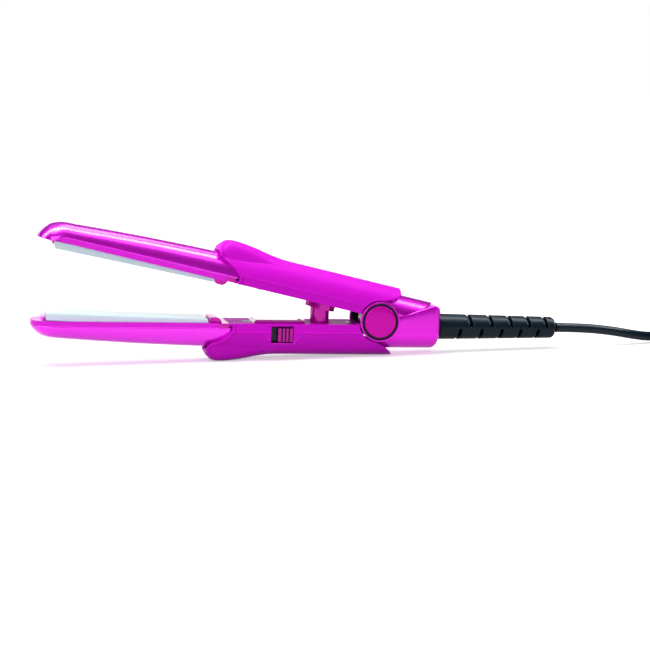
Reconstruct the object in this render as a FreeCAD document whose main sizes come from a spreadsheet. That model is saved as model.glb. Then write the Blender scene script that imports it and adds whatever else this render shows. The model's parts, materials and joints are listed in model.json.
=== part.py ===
"""Hair straightening iron with two sprung plates, opened, on its mains cord.

Every arm piece is drawn in the arm frame: the origin is on the pivot axis, +X runs to the cord,
Y is across the iron and -Z points out of the arm's back.  The lower arm stands in that frame
tilted by the rest angle; the upper arm is the same frame turned over and opened.
"""

import FreeCAD
import Part
import math
import os

from FreeCAD import Placement, Rotation, Vector

DIMENSIONS = {
    # the two arms, measured from the pivot axis
    "tip_reach": 191.5,
    "barrel_half_width": 12.0,
    "barrel_wall": 1.5,
    "barrel_rim": 4.6,
    "barrel_depth_front": 12.4,
    "barrel_depth_middle": 15.0,
    "barrel_depth_rear": 16.4,
    "barrel_middle_reach": 130.0,
    "barrel_rear_reach": 83.0,
    "nose_length": 16.0,
    # plate carrier and its rim strip
    "strip_level": 1.8,
    "strip_overlap": 8.8,
    "plate_gap": 0.4,
    "tray_half_width": 8.0,
    "tray_depth": 8.4,
    "tray_wall": 1.0,
    "ledge_level": 4.1,
    "rocker_width": 2.4,
    # plates
    "plate_length": 87.6,
    "plate_half_width": 10.0,
    "plate_thickness": 4.0,
    "plate_end_gap": 1.1,
    "plate_edge_radius": 0.9,
    "plate_closed_gap": 0.16,
    "plate_rock_angle": 0.8,
    "heater_length": 66.0,
    "heater_half_width": 6.0,
    "heater_thickness": 2.1,
    "cushion_length": 9.0,
    "cushion_offset": 24.0,
    # retainers at both ends of a plate
    "front_stop_thickness": 1.0,
    "front_stop_half_width": 8.0,
    "front_stop_height": 1.9,
    "bump_half_width": 8.0,
    "bump_height": 2.7,
    "bump_length": 6.8,
    "bump_overlap": 2.3,
    "neck_half_width": 11.2,
    # handle covers
    "handle_half_width": 13.5,
    "handle_wall": 1.35,
    "handle_rim": 2.0,
    "handle_facet": 4.7,
    "handle_corner": 9.0,
    "handle_depth": 20.1,
    "handle_front_depth": 17.8,
    "handle_front_reach": 99.2,
    "handle_full_reach": 60.0,
    "lower_heel_reach": 9.6,
    "upper_heel_reach": 7.8,
    "flare_depth": 24.0,
    "flare_setback": 10.2,
    "flare_half_width": 7.0,
    "flare_land_depth": 23.7,
    "heel_land_depth": 19.8,
    "heel_land_reach": 6.0,
    # lids on the inner faces of the handles
    "lid_thickness": 1.6,
    "lid_setback": 14.6,
    "lid_rear_reach": 9.5,
    "lid_fit": 0.1,
    "lid_screw_front_reach": 72.4,
    "lid_screw_rear_reach": 13.4,
    "screw_head_radius": 3.2,
    "screw_head_height": 1.0,
    "screw_shank_radius": 1.3,
    "boss_radius": 2.9,
    # switch, panel, lamp, board
    "window_front_reach": 61.4,
    "window_length": 12.6,
    "window_top": 2.9,
    "window_bottom": 12.3,
    "facet_front_reach": 66.8,
    "facet_rear_reach": 43.0,
    "slider_length": 8.2,
    "slider_height": 7.5,
    "slider_travel": 3.6,
    "slider_proud": 0.3,
    "slider_drop": 0.4,
    "facet_thickness": 3.2,
    "facet_lip": 0.6,
    "slider_flange_thickness": 0.9,
    "slider_rib_count": 4.0,
    "panel_front_reach": 70.3,
    "panel_rear_reach": 41.4,
    "panel_half_width": 7.5,
    "panel_height": 1.8,
    "lamp_radius": 1.0,
    "board_thickness": 1.6,
    "board_level": 10.0,
    "board_front_reach": 68.0,
    "board_rear_reach": 20.0,
    "board_half_width": 8.5,
    "board_screw_head_radius": 2.2,
    "board_screw_head_height": 1.2,
    "board_screw_length": 6.0,
    "fuse_radius": 2.0,
    "fuse_length": 12.0,
    "fuse_offset": 20.0,
    # guide post, its collar and the bump stop
    "post_reach": 31.6,
    "post_radius": 5.35,
    "post_bore": 3.6,
    "post_height": 7.0,
    "collar_reach": 32.3,
    "collar_radius": 8.35,
    "collar_bore": 6.85,
    "collar_height": 3.2,
    "nub_reach": 68.5,
    "nub_radius": 1.3,
    "nub_height": 1.0,
    # hinge
    "opening_angle": 12.45,
    "closed_angle": 1.25,
    "pin_radius": 2.5,
    "pin_clearance": 0.05,
    "bush_radius": 3.8,
    "lug_radius": 6.5,
    "lug_inner": 6.3,
    "lug_outer": 8.9,
    "cheek_inner": 9.2,
    "cheek_outer": 12.0,
    "cheek_radius": 9.0,
    "knuckle_space_radius": 11.8,
    "cover_arc_radius": 11.9,
    "cap_radius": 11.25,
    "cap_thickness": 2.3,
    "cap_groove_radius": 9.4,
    "cap_groove_width": 0.9,
    "cap_groove_depth": 1.2,
    "badge_radius": 9.3,
    "badge_thickness": 0.7,
    "spring_mean_radius": 7.5,
    "spring_wire": 1.5,
    "spring_pitch": 2.3,
    "spring_turns": 4.0,
    "spring_leg": 8.4,
    # tail of the upper arm and the rear housing
    "tail_half_width": 11.9,
    "tail_depth": 16.6,
    "tail_reach": 32.2,
    "tail_front_reach": 9.0,
    "tail_arc_radius": 11.5,
    "stop_gap": 0.12,
    "slope_angle": 18.5,
    "slope_height": -1.38,
    "housing_half_width": 11.9,
    "housing_depth": 16.2,
    "housing_top": 9.9,
    "housing_reach": 39.6,
    "housing_wall": 1.8,
    "housing_end_radius": 3.4,
    # strain relief, cord and plug
    "relief_drop": 3.95,
    "relief_root_radius": 7.4,
    "relief_end_radius": 6.1,
    "relief_bore": 3.4,
    "relief_reach": 108.2,
    "relief_nose": 4.5,
    "relief_clearance": 0.3,
    "relief_flange_radius": 8.6,
    "relief_flange": 1.6,
    "slot_width": 2.1,
    "slot_first_reach": 50.3,
    "slot_pitch": 13.0,
    "slot_pitch_ratio": 0.94,
    "slot_spine": 0.6,
    "slot_core_radius": 4.3,
    "cord_diameter": 5.4,
    "turn_gap": 0.3,
    "hank_fold_radius": 16.5,
    "hank_run": 42.0,
    "hank_levels": 5.0,
    "hank_lead_in": 57.9,
    "tie_width": 9.0,
    "tie_thickness": 0.6,
    "plug_length": 27.0,
    "plug_half_width": 8.5,
    "plug_height": 14.0,
    "blade_length": 17.0,
    "blade_width": 6.2,
    "blade_thickness": 1.5,
    "blade_spacing": 12.7,
}

CORD_ROUTE = [
    # points of the free stretch, from where the cord leaves its strain relief
    (0.0, 0.0, 0.0),
    (16.0, 0.0, -0.7),
    (34.0, 0.8, -3.0),
    (50.0, 3.2, -6.4),
]


class Size:
    """A number together with the sheet expression that gives it."""

    def __init__(self, value, text=None):
        self.value = float(value)
        self.text = text if text else repr(float(value))

    def _join(self, other, sign, value):
        return Size(value, f"({self.text} {sign} {other.text})")

    def __add__(self, other):
        other = as_size(other)
        return self._join(other, "+", self.value + other.value)

    def __sub__(self, other):
        other = as_size(other)
        return self._join(other, "-", self.value - other.value)

    def __mul__(self, other):
        other = as_size(other)
        return self._join(other, "*", self.value * other.value)

    def __truediv__(self, other):
        other = as_size(other)
        return self._join(other, "/", self.value / other.value)

    def __neg__(self):
        return Size(-self.value, f"(0 - {self.text})")

    def __radd__(self, other):
        return as_size(other) + self

    def __rsub__(self, other):
        return as_size(other) - self

    def __rmul__(self, other):
        return as_size(other) * self

    def root(self):
        return Size(math.sqrt(self.value), f"sqrt({self.text})")


def as_size(number):
    return number if isinstance(number, Size) else Size(number)


class Sizes:
    """The driving dimensions, kept in the document's sheet."""

    def __init__(self, document):
        self.sheet = document.addObject("Spreadsheet::Sheet", "Sizes")
        for row, (alias, number) in enumerate(DIMENSIONS.items(), start=1):
            self.sheet.set(f"A{row}", alias)
            self.sheet.set(f"B{row}", repr(number))
            self.sheet.setAlias(f"B{row}", alias)
            setattr(self, alias, Size(number, f"Sizes.{alias}"))


doc = FreeCAD.newDocument("hair_iron")
d = Sizes(doc)

# reaches that follow from the handle's front edge and the plate

strip_end_reach = d.handle_front_reach - d.strip_overlap
flare_reach = d.handle_front_reach - d.flare_setback
lid_front_reach = d.handle_front_reach - d.lid_setback
barrel_front_reach = d.tip_reach - d.nose_length
plate_middle_reach = (strip_end_reach + d.bump_length - d.bump_overlap + d.plate_end_gap
                      + d.plate_length / 2)
doc.recompute()
nodes = {}


# helpers for bodies, sketches and features

def new_body(label):
    body = doc.addObject("PartDesign::Body", label)
    body.Label = label
    return body


def plane_of(body, role):
    return next(item for item in body.Origin.OriginFeatures if item.Role == role)


def new_sketch(body, name, role, offset=0.0):
    """A sketch on one of the body's own planes, lifted along that plane's normal."""
    sketch = body.newObject("Sketcher::SketchObject", f"{body.Label}_{name}")
    sketch.AttachmentSupport = [(plane_of(body, role), "")]
    sketch.MapMode = "FlatFace"
    offset = as_size(offset)
    sketch.AttachmentOffset = Placement(Vector(0, 0, offset.value), Rotation())
    sketch.setExpression("AttachmentOffset.Base.z", offset.text)
    return sketch


def constrain(sketch, links, amounts):
    """Add the links and the driving constraints at once and tie the latter to the sheet."""
    import Sketcher
    driving = [Sketcher.Constraint(kind, *where, amount.value) for kind, amount, *where in amounts]
    indices = sketch.addConstraint(links + driving)
    for index, (_, amount, *_) in zip(indices[len(links):], amounts):
        sketch.setExpression(f"Constraints[{index}]", amount.text)


def arc_middle(start, end, radius, turn):
    """The middle point of an arc; turn +1 bulges to the left of start to end, -1 to the right."""
    chord = end - start
    half = chord.Length / 2
    rise = radius - math.sqrt(max(radius * radius - half * half, 0.0))
    normal = Vector(-chord.y, chord.x, 0).normalize()
    return (start + end) / 2 + normal * (rise * turn)


def outline(sketch, points, arcs=None):
    """A closed outline of lines; arcs maps a side's index to its radius and bulge."""
    import Sketcher
    arcs = arcs or {}
    flat = [Vector(as_size(a).value, as_size(b).value, 0) for a, b in points]
    first = sketch.GeometryCount
    count = len(flat)
    starts = []
    ends = []
    for side in range(count):
        start, end = flat[side], flat[(side + 1) % count]
        if side in arcs:
            radius, turn = arcs[side]
            middle = arc_middle(start, end, as_size(radius).value, turn)
            sketch.addGeometry(Part.Arc(start, middle, end))
            # an arc's own start is the end that its circle reaches first, counter-clockwise
            starts.append(2 if turn > 0 else 1)
            ends.append(1 if turn > 0 else 2)
        else:
            sketch.addGeometry(Part.LineSegment(start, end))
            starts.append(1)
            ends.append(2)
    links = [Sketcher.Constraint("Coincident", first + side, ends[side],
                                 first + (side + 1) % count, starts[(side + 1) % count])
             for side in range(count)]
    amounts = []
    for side, (across, up) in enumerate(points):
        amounts.append(("DistanceX", as_size(across), -1, 1, first + side, starts[side]))
        amounts.append(("DistanceY", as_size(up), -1, 1, first + side, starts[side]))
    for side, (radius, _) in arcs.items():
        amounts.append(("Radius", as_size(radius), first + side))
    constrain(sketch, links, amounts)


def box_outline(sketch, left, right, low, high):
    outline(sketch, [(left, low), (right, low), (right, high), (left, high)])


def circle(sketch, across, up, radius):
    across, up, radius = as_size(across), as_size(up), as_size(radius)
    index = sketch.addGeometry(
        Part.Circle(Vector(across.value, up.value, 0), Vector(0, 0, 1), radius.value))
    constrain(sketch, [], [("DistanceX", across, -1, 1, index, 3),
                           ("DistanceY", up, -1, 1, index, 3),
                           ("Radius", radius, index)])


def extrude(body, kind, sketch, length, reverse=False, symmetric=False):
    """Pad or pocket a sketch; the length is tied to the sheet."""
    feature = body.newObject(f"PartDesign::{kind}", sketch.Label + "_" + kind.lower())
    feature.Profile = sketch
    length = as_size(length)
    feature.Length = length.value
    feature.setExpression("Length", length.text)
    feature.Reversed = reverse
    feature.SideType = "Symmetric" if symmetric else "One side"
    sketch.Visibility = False
    return feature


def pad(body, sketch, length, reverse=False, symmetric=False):
    return extrude(body, "Pad", sketch, length, reverse, symmetric)


def pocket(body, sketch, length, reverse=False, symmetric=False):
    return extrude(body, "Pocket", sketch, length, reverse, symmetric)


def loft(body, kind, name, sketches):
    """Straight surfaces from each section to the next."""
    feature = body.newObject(f"PartDesign::{kind}", f"{body.Label}_{name}")
    feature.Profile = sketches[0]
    feature.Sections = sketches[1:]
    feature.Ruled = True
    return feature


def keep(label, shape_object, placement):
    """Enter a finished sub-part under its node name and put it in its place."""
    shape_object.Label = label
    shape_object.Placement = placement
    nodes[label] = shape_object


# the section that the barrels, the handles and the housing share

def arch_points(half_width, rim, side, depth, corner):
    """A half turned-over arch: flat side, round corner, wide crown; each joins the next smoothly.

    The crown's radius follows from the other sizes: its arc is centred on the middle plane and
    touches the corner arc from the inside, so a deep narrow arch needs a long side.
    """
    inset = half_width - corner
    drop = depth - side
    crown = (inset * inset + drop * drop - corner * corner) / (2 * (drop - corner))
    reach = crown / (crown - corner)
    joint_across = inset * reach
    joint_up = -depth + crown + (drop - crown) * reach
    return rim, side, corner, crown, joint_across, joint_up


def arch(body, name, distance, half_width, rim, side, depth, corner):
    """A closed arch section across the arm at a distance from the pivot axis."""
    sketch = new_sketch(body, name, "YZ_Plane", distance)
    rim, side, corner, crown, joint, level = arch_points(half_width, rim, side, depth, corner)
    points = [
        (-half_width, -rim), (-half_width, -side), (-joint, level),
        (joint, level), (half_width, -side), (half_width, -rim),
    ]
    outline(sketch, points, {1: (corner, -1), 2: (crown, -1), 3: (corner, -1)})
    return sketch


def arm_place(upper):
    return UPPER_ARM if upper else LOWER_ARM


# where the iron stands: on the flare's land and on the heel's land, with its middle over the origin

rest_slope = (d.flare_land_depth - d.heel_land_depth) / (flare_reach - -d.heel_land_reach)
REST_TILT = math.degrees(math.atan(rest_slope.value))
TILT_COS = math.cos(math.radians(REST_TILT))
TILT_SIN = math.sin(math.radians(REST_TILT))
floor_at_pivot = d.heel_land_depth + d.heel_land_reach * rest_slope
PIVOT_HEIGHT = floor_at_pivot.value * TILT_COS
TIP_X = -d.tip_reach.value * TILT_COS - d.barrel_rim.value * TILT_SIN
RELIEF_X = (d.relief_reach.value * TILT_COS
            + (d.relief_bore.value - d.relief_drop.value) * TILT_SIN)
PIVOT_X = -(TIP_X + RELIEF_X) / 2
PIVOT = Vector(PIVOT_X, 0, PIVOT_HEIGHT)
ACROSS = Vector(0, 1, 0)
TURN_OVER = Rotation(Vector(1, 0, 0), 180)
LOWER_ARM = Placement(PIVOT, Rotation(ACROSS, REST_TILT))
UPPER_ARM = Placement(PIVOT, Rotation(ACROSS, REST_TILT + d.opening_angle.value) * TURN_OVER)


# barrels

NOSE = (
    # distance behind the tip, shares of the half width and of the depth below the rim
    (0.5, 0.375, 0.13),
    (1.4, 0.51, 0.27),
    (2.6, 0.64, 0.41),
    (4.2, 0.76, 0.58),
    (6.2, 0.86, 0.75),
    (8.6, 0.94, 0.89),
    (11.5, 0.985, 0.98),
)


def barrel_shell(label, upper):
    body = new_body(label)
    side_share = 0.12
    corner_share = 0.6

    def section(name, distance, half_width, depth, rim, inset, lift):
        tall = depth - inset - rim
        return arch(body, name, distance, half_width - inset, rim - lift,
                    rim + tall * side_share, depth - inset, tall * corner_share)

    wide = d.barrel_half_width
    front = d.barrel_depth_front - d.barrel_rim
    nose = [(into - d.tip_reach, wide * across, d.barrel_rim + front * down)
            for into, across, down in NOSE]
    straight = [
        (-barrel_front_reach, wide, d.barrel_depth_front),
        (-(barrel_front_reach + d.barrel_middle_reach) / 2, wide,
         (d.barrel_depth_front + d.barrel_depth_middle) / 2 + 0.15),
        (-d.barrel_middle_reach, wide, d.barrel_depth_middle),
        (-d.barrel_rear_reach - 14.0, wide, d.barrel_depth_rear - 0.3),
        (-d.barrel_rear_reach, wide, d.barrel_depth_rear),
    ]
    outer = [section(f"out{i}", *station, d.barrel_rim, 0.0, 0.0)
             for i, station in enumerate(nose + straight)]
    loft(body, "AdditiveLoft", "skin", outer)
    hollow = [(x + d.barrel_wall, w, t) for x, w, t in nose[2:]] + straight
    hollow[-1] = (hollow[-1][0] + 1.0, hollow[-1][1], hollow[-1][2])
    inner = [section(f"in{i}", *station, d.barrel_rim, d.barrel_wall, 1.0)
             for i, station in enumerate(hollow)]
    loft(body, "SubtractiveLoft", "hollow", inner)
    keep(label, body, arm_place(upper))


def plate_carrier(label, upper):
    body = new_body(label)
    plan = new_sketch(body, "plan", "XY_Plane", -d.strip_level)
    half = d.barrel_half_width
    flat = Size(1.0)
    outline(plan, [(-strip_end_reach, half), (half - flat - d.tip_reach, half),
                   (-d.tip_reach, flat), (-d.tip_reach, -flat),
                   (half - flat - d.tip_reach, -half), (-strip_end_reach, -half)],
            {1: (half - flat, -1), 3: (half - flat, -1)})
    pad(body, plan, d.barrel_rim - d.strip_level, reverse=True)
    half_plate = d.plate_length / 2
    tray_front = -(plate_middle_reach + half_plate) + 8.6
    tray_rear = -(plate_middle_reach - half_plate) - 5.0
    tray = new_sketch(body, "tray", "XY_Plane", -d.barrel_rim)
    box_outline(tray, tray_front, tray_rear, -d.tray_half_width, d.tray_half_width)
    pad(body, tray, d.tray_depth - d.barrel_rim, reverse=True)
    opening = new_sketch(body, "opening", "XY_Plane", -d.strip_level)
    side = d.plate_half_width + d.plate_gap
    box_outline(opening, -(plate_middle_reach + half_plate + d.plate_gap),
                -(plate_middle_reach - half_plate - d.plate_gap), -side, side)
    pocket(body, opening, d.ledge_level - d.strip_level)
    inside = new_sketch(body, "inside", "XY_Plane", -d.strip_level)
    wall = d.tray_wall
    box_outline(inside, tray_front + wall, tray_rear - wall,
                -(d.tray_half_width - wall), d.tray_half_width - wall)
    pocket(body, inside, d.tray_depth - wall - d.strip_level)
    rocker = new_sketch(body, "rocker", "XY_Plane", -(d.tray_depth - wall))
    box_outline(rocker, -plate_middle_reach - d.rocker_width / 2,
                -plate_middle_reach + d.rocker_width / 2,
                -(d.tray_half_width - wall), d.tray_half_width - wall)
    pad(body, rocker, d.tray_depth - wall + heater_underside - 0.05)
    keep(label, body, arm_place(upper))


# A closed plate lies on the line from the pivot axis that halves the closed angle.

half_closed_slope = Size(math.tan(math.radians(d.closed_angle.value / 2)),
                         "tan(Sizes.closed_angle / 2)")
plate_level = plate_middle_reach * half_closed_slope - d.plate_closed_gap / 2
heater_underside = plate_level - d.plate_thickness - d.heater_thickness
PLATE_TILT = d.closed_angle.value / 2 + d.plate_rock_angle.value


def plate_place(upper):
    middle = Vector(-plate_middle_reach.value, 0, plate_level.value)
    return arm_place(upper) * Placement(middle, Rotation(ACROSS, PLATE_TILT))


def plate(label, upper):
    """The plate is drawn about the middle of its face."""
    body = new_body(label)
    face = new_sketch(body, "face", "XY_Plane")
    half = d.plate_length / 2
    box_outline(face, -half, half, -d.plate_half_width, d.plate_half_width)
    slab = pad(body, face, d.plate_thickness, reverse=True)
    doc.recompute()
    edges = [f"Edge{i + 1}" for i, edge in enumerate(slab.Shape.Edges)
             if edge.CenterOfMass.z > -1e-6]
    rounding = body.newObject("PartDesign::Fillet", label + "_rounding")
    rounding.Base = (slab, edges)
    rounding.Radius = d.plate_edge_radius.value
    rounding.setExpression("Radius", d.plate_edge_radius.text)
    keep(label, body, plate_place(upper))


def part_box(label, left, right, low_y, high_y, low, high, placement):
    """A plain block whose corners are tied to the sheet."""
    block = doc.addObject("Part::Box", label)
    left, low_y, low = as_size(left), as_size(low_y), as_size(low)
    spans = (as_size(right) - left, as_size(high_y) - low_y, as_size(high) - low)
    for name, span in zip(("Length", "Width", "Height"), spans):
        setattr(block, name, span.value)
        block.setExpression(name, span.text)
    start = Vector(left.value, low_y.value, low.value)
    keep(label, block, placement * Placement(start, Rotation()))
    return block


def heater(label, upper):
    half = d.heater_length / 2
    top = -d.plate_thickness
    part_box(label, -half, half, -d.heater_half_width, d.heater_half_width,
             top - d.heater_thickness, top, plate_place(upper))


def cushions(label, upper):
    """Two silicone blocks between the tray floor and the heater, one at each end."""
    body = new_body(label)
    floor = -(d.tray_depth - d.tray_wall)
    rest = math.tan(math.radians(PLATE_TILT))
    flush = half_closed_slope.value
    for name, offset, slope in (("front", -d.cushion_offset, flush),
                                ("rear", d.cushion_offset, rest)):
        sketch = new_sketch(body, name, "XY_Plane", floor)
        middle = offset - plate_middle_reach
        half = d.cushion_length / 2
        box_outline(sketch, middle - half, middle + half,
                    -d.heater_half_width + 1, d.heater_half_width - 1)
        lowest = heater_underside - (offset + half) * slope
        pad(body, sketch, lowest - floor - 0.05)
    keep(label, body, arm_place(upper))


def front_stop(label, upper):
    front = -(plate_middle_reach + d.plate_length / 2 + 2 * d.plate_gap)
    part_box(label, front - d.front_stop_thickness, front, -d.front_stop_half_width,
             d.front_stop_half_width, -d.strip_level, d.front_stop_height - d.strip_level,
             arm_place(upper))


def neck(label, upper):
    """Block between the carrier and the handle, with the rounded stop that meets its twin."""
    body = new_body(label)
    block = new_sketch(body, "block", "XZ_Plane")
    low = d.barrel_rim + 0.8
    front = -strip_end_reach
    rear = -lid_front_reach
    outline(block, [(front, -d.handle_rim), (front, -d.barrel_rim), (rear, -d.barrel_rim),
                    (rear, -d.handle_rim)])
    pad(body, block, 2 * d.neck_half_width, symmetric=True)
    bump = new_sketch(body, "bump", "XZ_Plane")
    top = d.bump_height - d.strip_level
    bump_front = front - d.bump_length + d.bump_overlap
    bump_rear = front + d.bump_overlap
    outline(bump, [(bump_front, -d.strip_level), (bump_front, top - 1.2), (bump_front + 1.2, top),
                   (bump_rear - 2.4, top), (bump_rear, -d.handle_rim), (front, -low + 1.0),
                   (front, -d.strip_level)],
            {1: (1.2, 1), 3: (4.0, 1)})
    pad(body, bump, 2 * d.bump_half_width, symmetric=True)
    keep(label, body, arm_place(upper))


# handle covers

def handle_cover(label, upper):
    body = new_body(label)
    facet = d.handle_rim + d.handle_facet
    heel = d.upper_heel_reach if upper else d.lower_heel_reach
    stations = [
        (-d.handle_front_reach, d.handle_front_depth),
        (-flare_reach, d.handle_front_depth + 0.6),
        (-d.handle_full_reach, d.handle_depth),
        (-d.handle_full_reach / 2, d.handle_depth),
        (heel, d.handle_depth),
    ]
    wall = d.handle_wall
    outer = [arch(body, f"out{i}", x, d.handle_half_width, d.handle_rim, facet, deep,
                  d.handle_corner) for i, (x, deep) in enumerate(stations)]
    loft(body, "AdditiveLoft", "skin", outer)
    flare = [
        # distance behind the front edge, shares of the flare's half width and of its rise
        (0.2, 0.62, -0.75),
        (1.2, 0.70, 0.0),
        (2.6, 0.80, 0.50),
        (4.6, 0.90, 0.85),
        (7.2, 0.96, 0.99),
        (10.2, 1.0, 1.0),
        (14.0, 1.02, 0.93),
        (19.0, 1.05, 0.78),
        (25.0, 1.08, 0.52),
        (31.0, 1.12, 0.24),
        (38.0, 1.15, 0.02),
        (42.0, 1.15, -0.08),
    ]
    rise = d.flare_depth - d.handle_depth
    ridge = []
    for i, (into, wide, share) in enumerate(flare):
        half, deep = d.flare_half_width * wide, d.handle_depth + rise * share
        ridge.append(arch(body, f"ridge{i}", into - d.handle_front_reach, half, Size(9.0),
                          deep - half * 0.85, deep, half * 0.62))
    loft(body, "AdditiveLoft", "flare", ridge)
    hollow = [(x - 1.0 if i == 0 else x, deep) for i, (x, deep) in enumerate(stations)]
    hollow[-1] = (heel + 1.0, d.handle_depth)
    inner = [arch(body, f"in{i}", x, d.handle_half_width - wall, d.handle_rim - 1.0, facet,
                  deep - wall, d.handle_corner - wall) for i, (x, deep) in enumerate(hollow)]
    loft(body, "SubtractiveLoft", "hollow", inner)

    front = new_sketch(body, "front_edge", "XZ_Plane")
    brow = -d.handle_front_reach
    neck_x = -lid_front_reach - 0.6
    outline(front, [(brow - 8, 2), (neck_x, 2), (neck_x, -5.4), (neck_x - 2.8, -9.0),
                    (neck_x - 8.2, -12.2), (brow + 0.6, -14.8), (brow + 0.1, -16.4),
                    (brow - 8, -16.4)],
            {2: (6.0, 1), 3: (12.0, 1)})
    pocket(body, front, 3 * d.handle_half_width, symmetric=True)

    rear = new_sketch(body, "rear_edge", "XZ_Plane")
    if upper:
        outline(rear, [(-2, 2), (-2, -11.5), (0.5, -12.4), (3.6, -14.0), (heel - 1.0, -15.9),
                       (heel - 0.1, -17.4), (heel + 4, -17.4), (heel + 4, 2)])
    else:
        outline(rear, [(-2.3, 2), (-2.3, -11.5), (4.9, -13.4), (heel - 1.9, -15.6),
                       (heel - 0.5, -17.7), (heel + 4, -17.7), (heel + 4, 2)])
    pocket(body, rear, 3 * d.handle_half_width, symmetric=True)

    for name, distance, top in cover_bosses(upper):
        boss = new_sketch(body, name, "XY_Plane", -top)
        circle(boss, -distance, 0, d.boss_radius)
        pad(body, boss, d.handle_depth - d.handle_wall / 2 - top, reverse=True)
        bore = new_sketch(body, name + "_bore", "XY_Plane", -top)
        circle(bore, -distance, 0, d.screw_shank_radius)
        pocket(body, bore, 6.0)
    eye = new_sketch(body, "cap_arc", "XZ_Plane")
    circle(eye, 0, 0, d.cover_arc_radius)
    pocket(body, eye, 3 * d.handle_half_width, symmetric=True)
    if not upper:
        switch_window(body)
        floor = new_sketch(body, "floor", "XZ_Plane")
        ahead, behind = d.handle_front_reach + 4, heel + 4
        outline(floor, [(-ahead, -(floor_at_pivot + ahead * rest_slope)), (-ahead, -2 * d.handle_depth),
                        (behind, -2 * d.handle_depth), (behind, -(floor_at_pivot - behind * rest_slope))])
        pocket(body, floor, 3 * d.handle_half_width, symmetric=True)
    keep(label, body, arm_place(upper))


def cover_bosses(upper):
    """Name, reach and top level of each screw boss inside a handle."""
    lid_level = d.handle_rim + d.lid_thickness
    bosses = [("boss_front", d.lid_screw_front_reach, lid_level),
              ("boss_rear", d.lid_screw_rear_reach, lid_level)]
    if not upper:
        board = d.board_level + d.board_thickness
        bosses += [("board_boss_front", d.board_front_reach - 4.5, board),
                   ("board_boss_rear", d.board_rear_reach + 3.0, board)]
    return bosses


def switch_window(body):
    """Flat pad on the near side, and the window through it into the handle's hollow."""
    facet = d.handle_rim + d.handle_facet
    front, rear = -d.window_front_reach, -d.window_front_reach + d.window_length
    sill = d.window_bottom + d.facet_lip
    flat = new_sketch(body, "facet", "XZ_Plane", d.handle_half_width)
    outline(flat, [(-d.facet_front_reach, -facet), (front, -sill),
                   (rear + d.facet_lip, -sill), (-d.facet_rear_reach, -facet)])
    pad(body, flat, d.facet_thickness, reverse=True)
    window = new_sketch(body, "window", "XZ_Plane", d.handle_half_width)
    box_outline(window, front, rear, -d.window_bottom, -d.window_top)
    pocket(body, window, 2 * d.facet_thickness)


def lid(label, upper):
    """Inner cover of a handle; its screws and the guide post stand in it."""
    body = new_body(label)
    top = new_sketch(body, "top", "XY_Plane", -d.handle_rim)
    side = d.handle_half_width - d.handle_wall - d.lid_fit
    box_outline(top, -lid_front_reach, -d.lid_rear_reach, -side, side)
    pad(body, top, d.lid_thickness, reverse=True)
    holes = new_sketch(body, "holes", "XY_Plane", -d.handle_rim)
    through = (d.collar_reach, d.collar_radius - 0.4) if upper else (d.post_reach, d.post_radius)
    circle(holes, -through[0], 0, through[1] + 0.05)
    for reach in (d.lid_screw_front_reach, d.lid_screw_rear_reach):
        circle(holes, -reach, 0, d.screw_shank_radius)
    pocket(body, holes, d.lid_thickness + 1)
    sinks = new_sketch(body, "sinks", "XY_Plane", -d.handle_rim)
    for reach in (d.lid_screw_front_reach, d.lid_screw_rear_reach):
        circle(sinks, -reach, 0, d.screw_head_radius)
    pocket(body, sinks, d.screw_head_height)
    keep(label, body, arm_place(upper))


def screws(label, upper, reaches, head_level, head_radius, head_height, length):
    """Countersunk screws as one group: flat heads on shanks, each with a slot."""
    body = new_body(label)
    for i, reach in enumerate(reaches):
        head = new_sketch(body, f"head{i}", "XY_Plane", -head_level)
        circle(head, -reach, 0, head_radius)
        pad(body, head, head_height, reverse=True)
        shank = new_sketch(body, f"shank{i}", "XY_Plane", -(head_level + head_height))
        circle(shank, -reach, 0, d.screw_shank_radius)
        pad(body, shank, length, reverse=True)
        for turn, (long, wide) in enumerate(((0.62, 0.13), (0.13, 0.62))):
            slot = new_sketch(body, f"slot{i}_{turn}", "XY_Plane", -head_level)
            box_outline(slot, -reach - head_radius * long, -reach + head_radius * long,
                        -(head_radius * wide), head_radius * wide)
            pocket(body, slot, head_height * 0.5)
    keep(label, body, arm_place(upper))


# switch, panel, board and what else the handle holds

def slide_switch():
    body = new_body("switch_slider")
    rear = -d.window_front_reach + d.window_length - 0.4
    front = rear - d.slider_length
    middle = (d.window_top + d.window_bottom) / 2 + d.slider_drop
    face = d.handle_half_width - d.slider_proud
    wall_inside = d.handle_half_width - d.facet_thickness - 0.3
    knob = new_sketch(body, "knob", "XZ_Plane", wall_inside)
    box_outline(knob, front, rear, -middle - d.slider_height / 2, -middle + d.slider_height / 2)
    pad(body, knob, face - wall_inside)
    flange = new_sketch(body, "flange", "XZ_Plane", wall_inside)
    box_outline(flange, front - d.slider_travel - 0.8, rear + d.slider_travel + 0.4,
                -middle - d.slider_height / 2, -middle + d.slider_height / 2)
    pad(body, flange, d.slider_flange_thickness, reverse=True)
    grooves = new_sketch(body, "grooves", "XZ_Plane", face)
    count = int(d.slider_rib_count.value)
    pitch = d.slider_length / d.slider_rib_count
    for i in range(count - 1):
        groove = front + pitch * (i + 1)
        box_outline(grooves, groove - 0.45, groove + 0.45, -middle - d.slider_height / 2 - 1,
                    -middle + d.slider_height / 2 + 1)
    pocket(body, grooves, 0.7)
    keep("switch_slider", body, LOWER_ARM)
    inner_face = wall_inside - d.slider_flange_thickness - 0.3
    part_box("switch_body", front - 1, rear + 1, -inner_face, -inner_face + 4.5,
             -d.board_level, -d.window_top - 0.9, LOWER_ARM)


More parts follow.
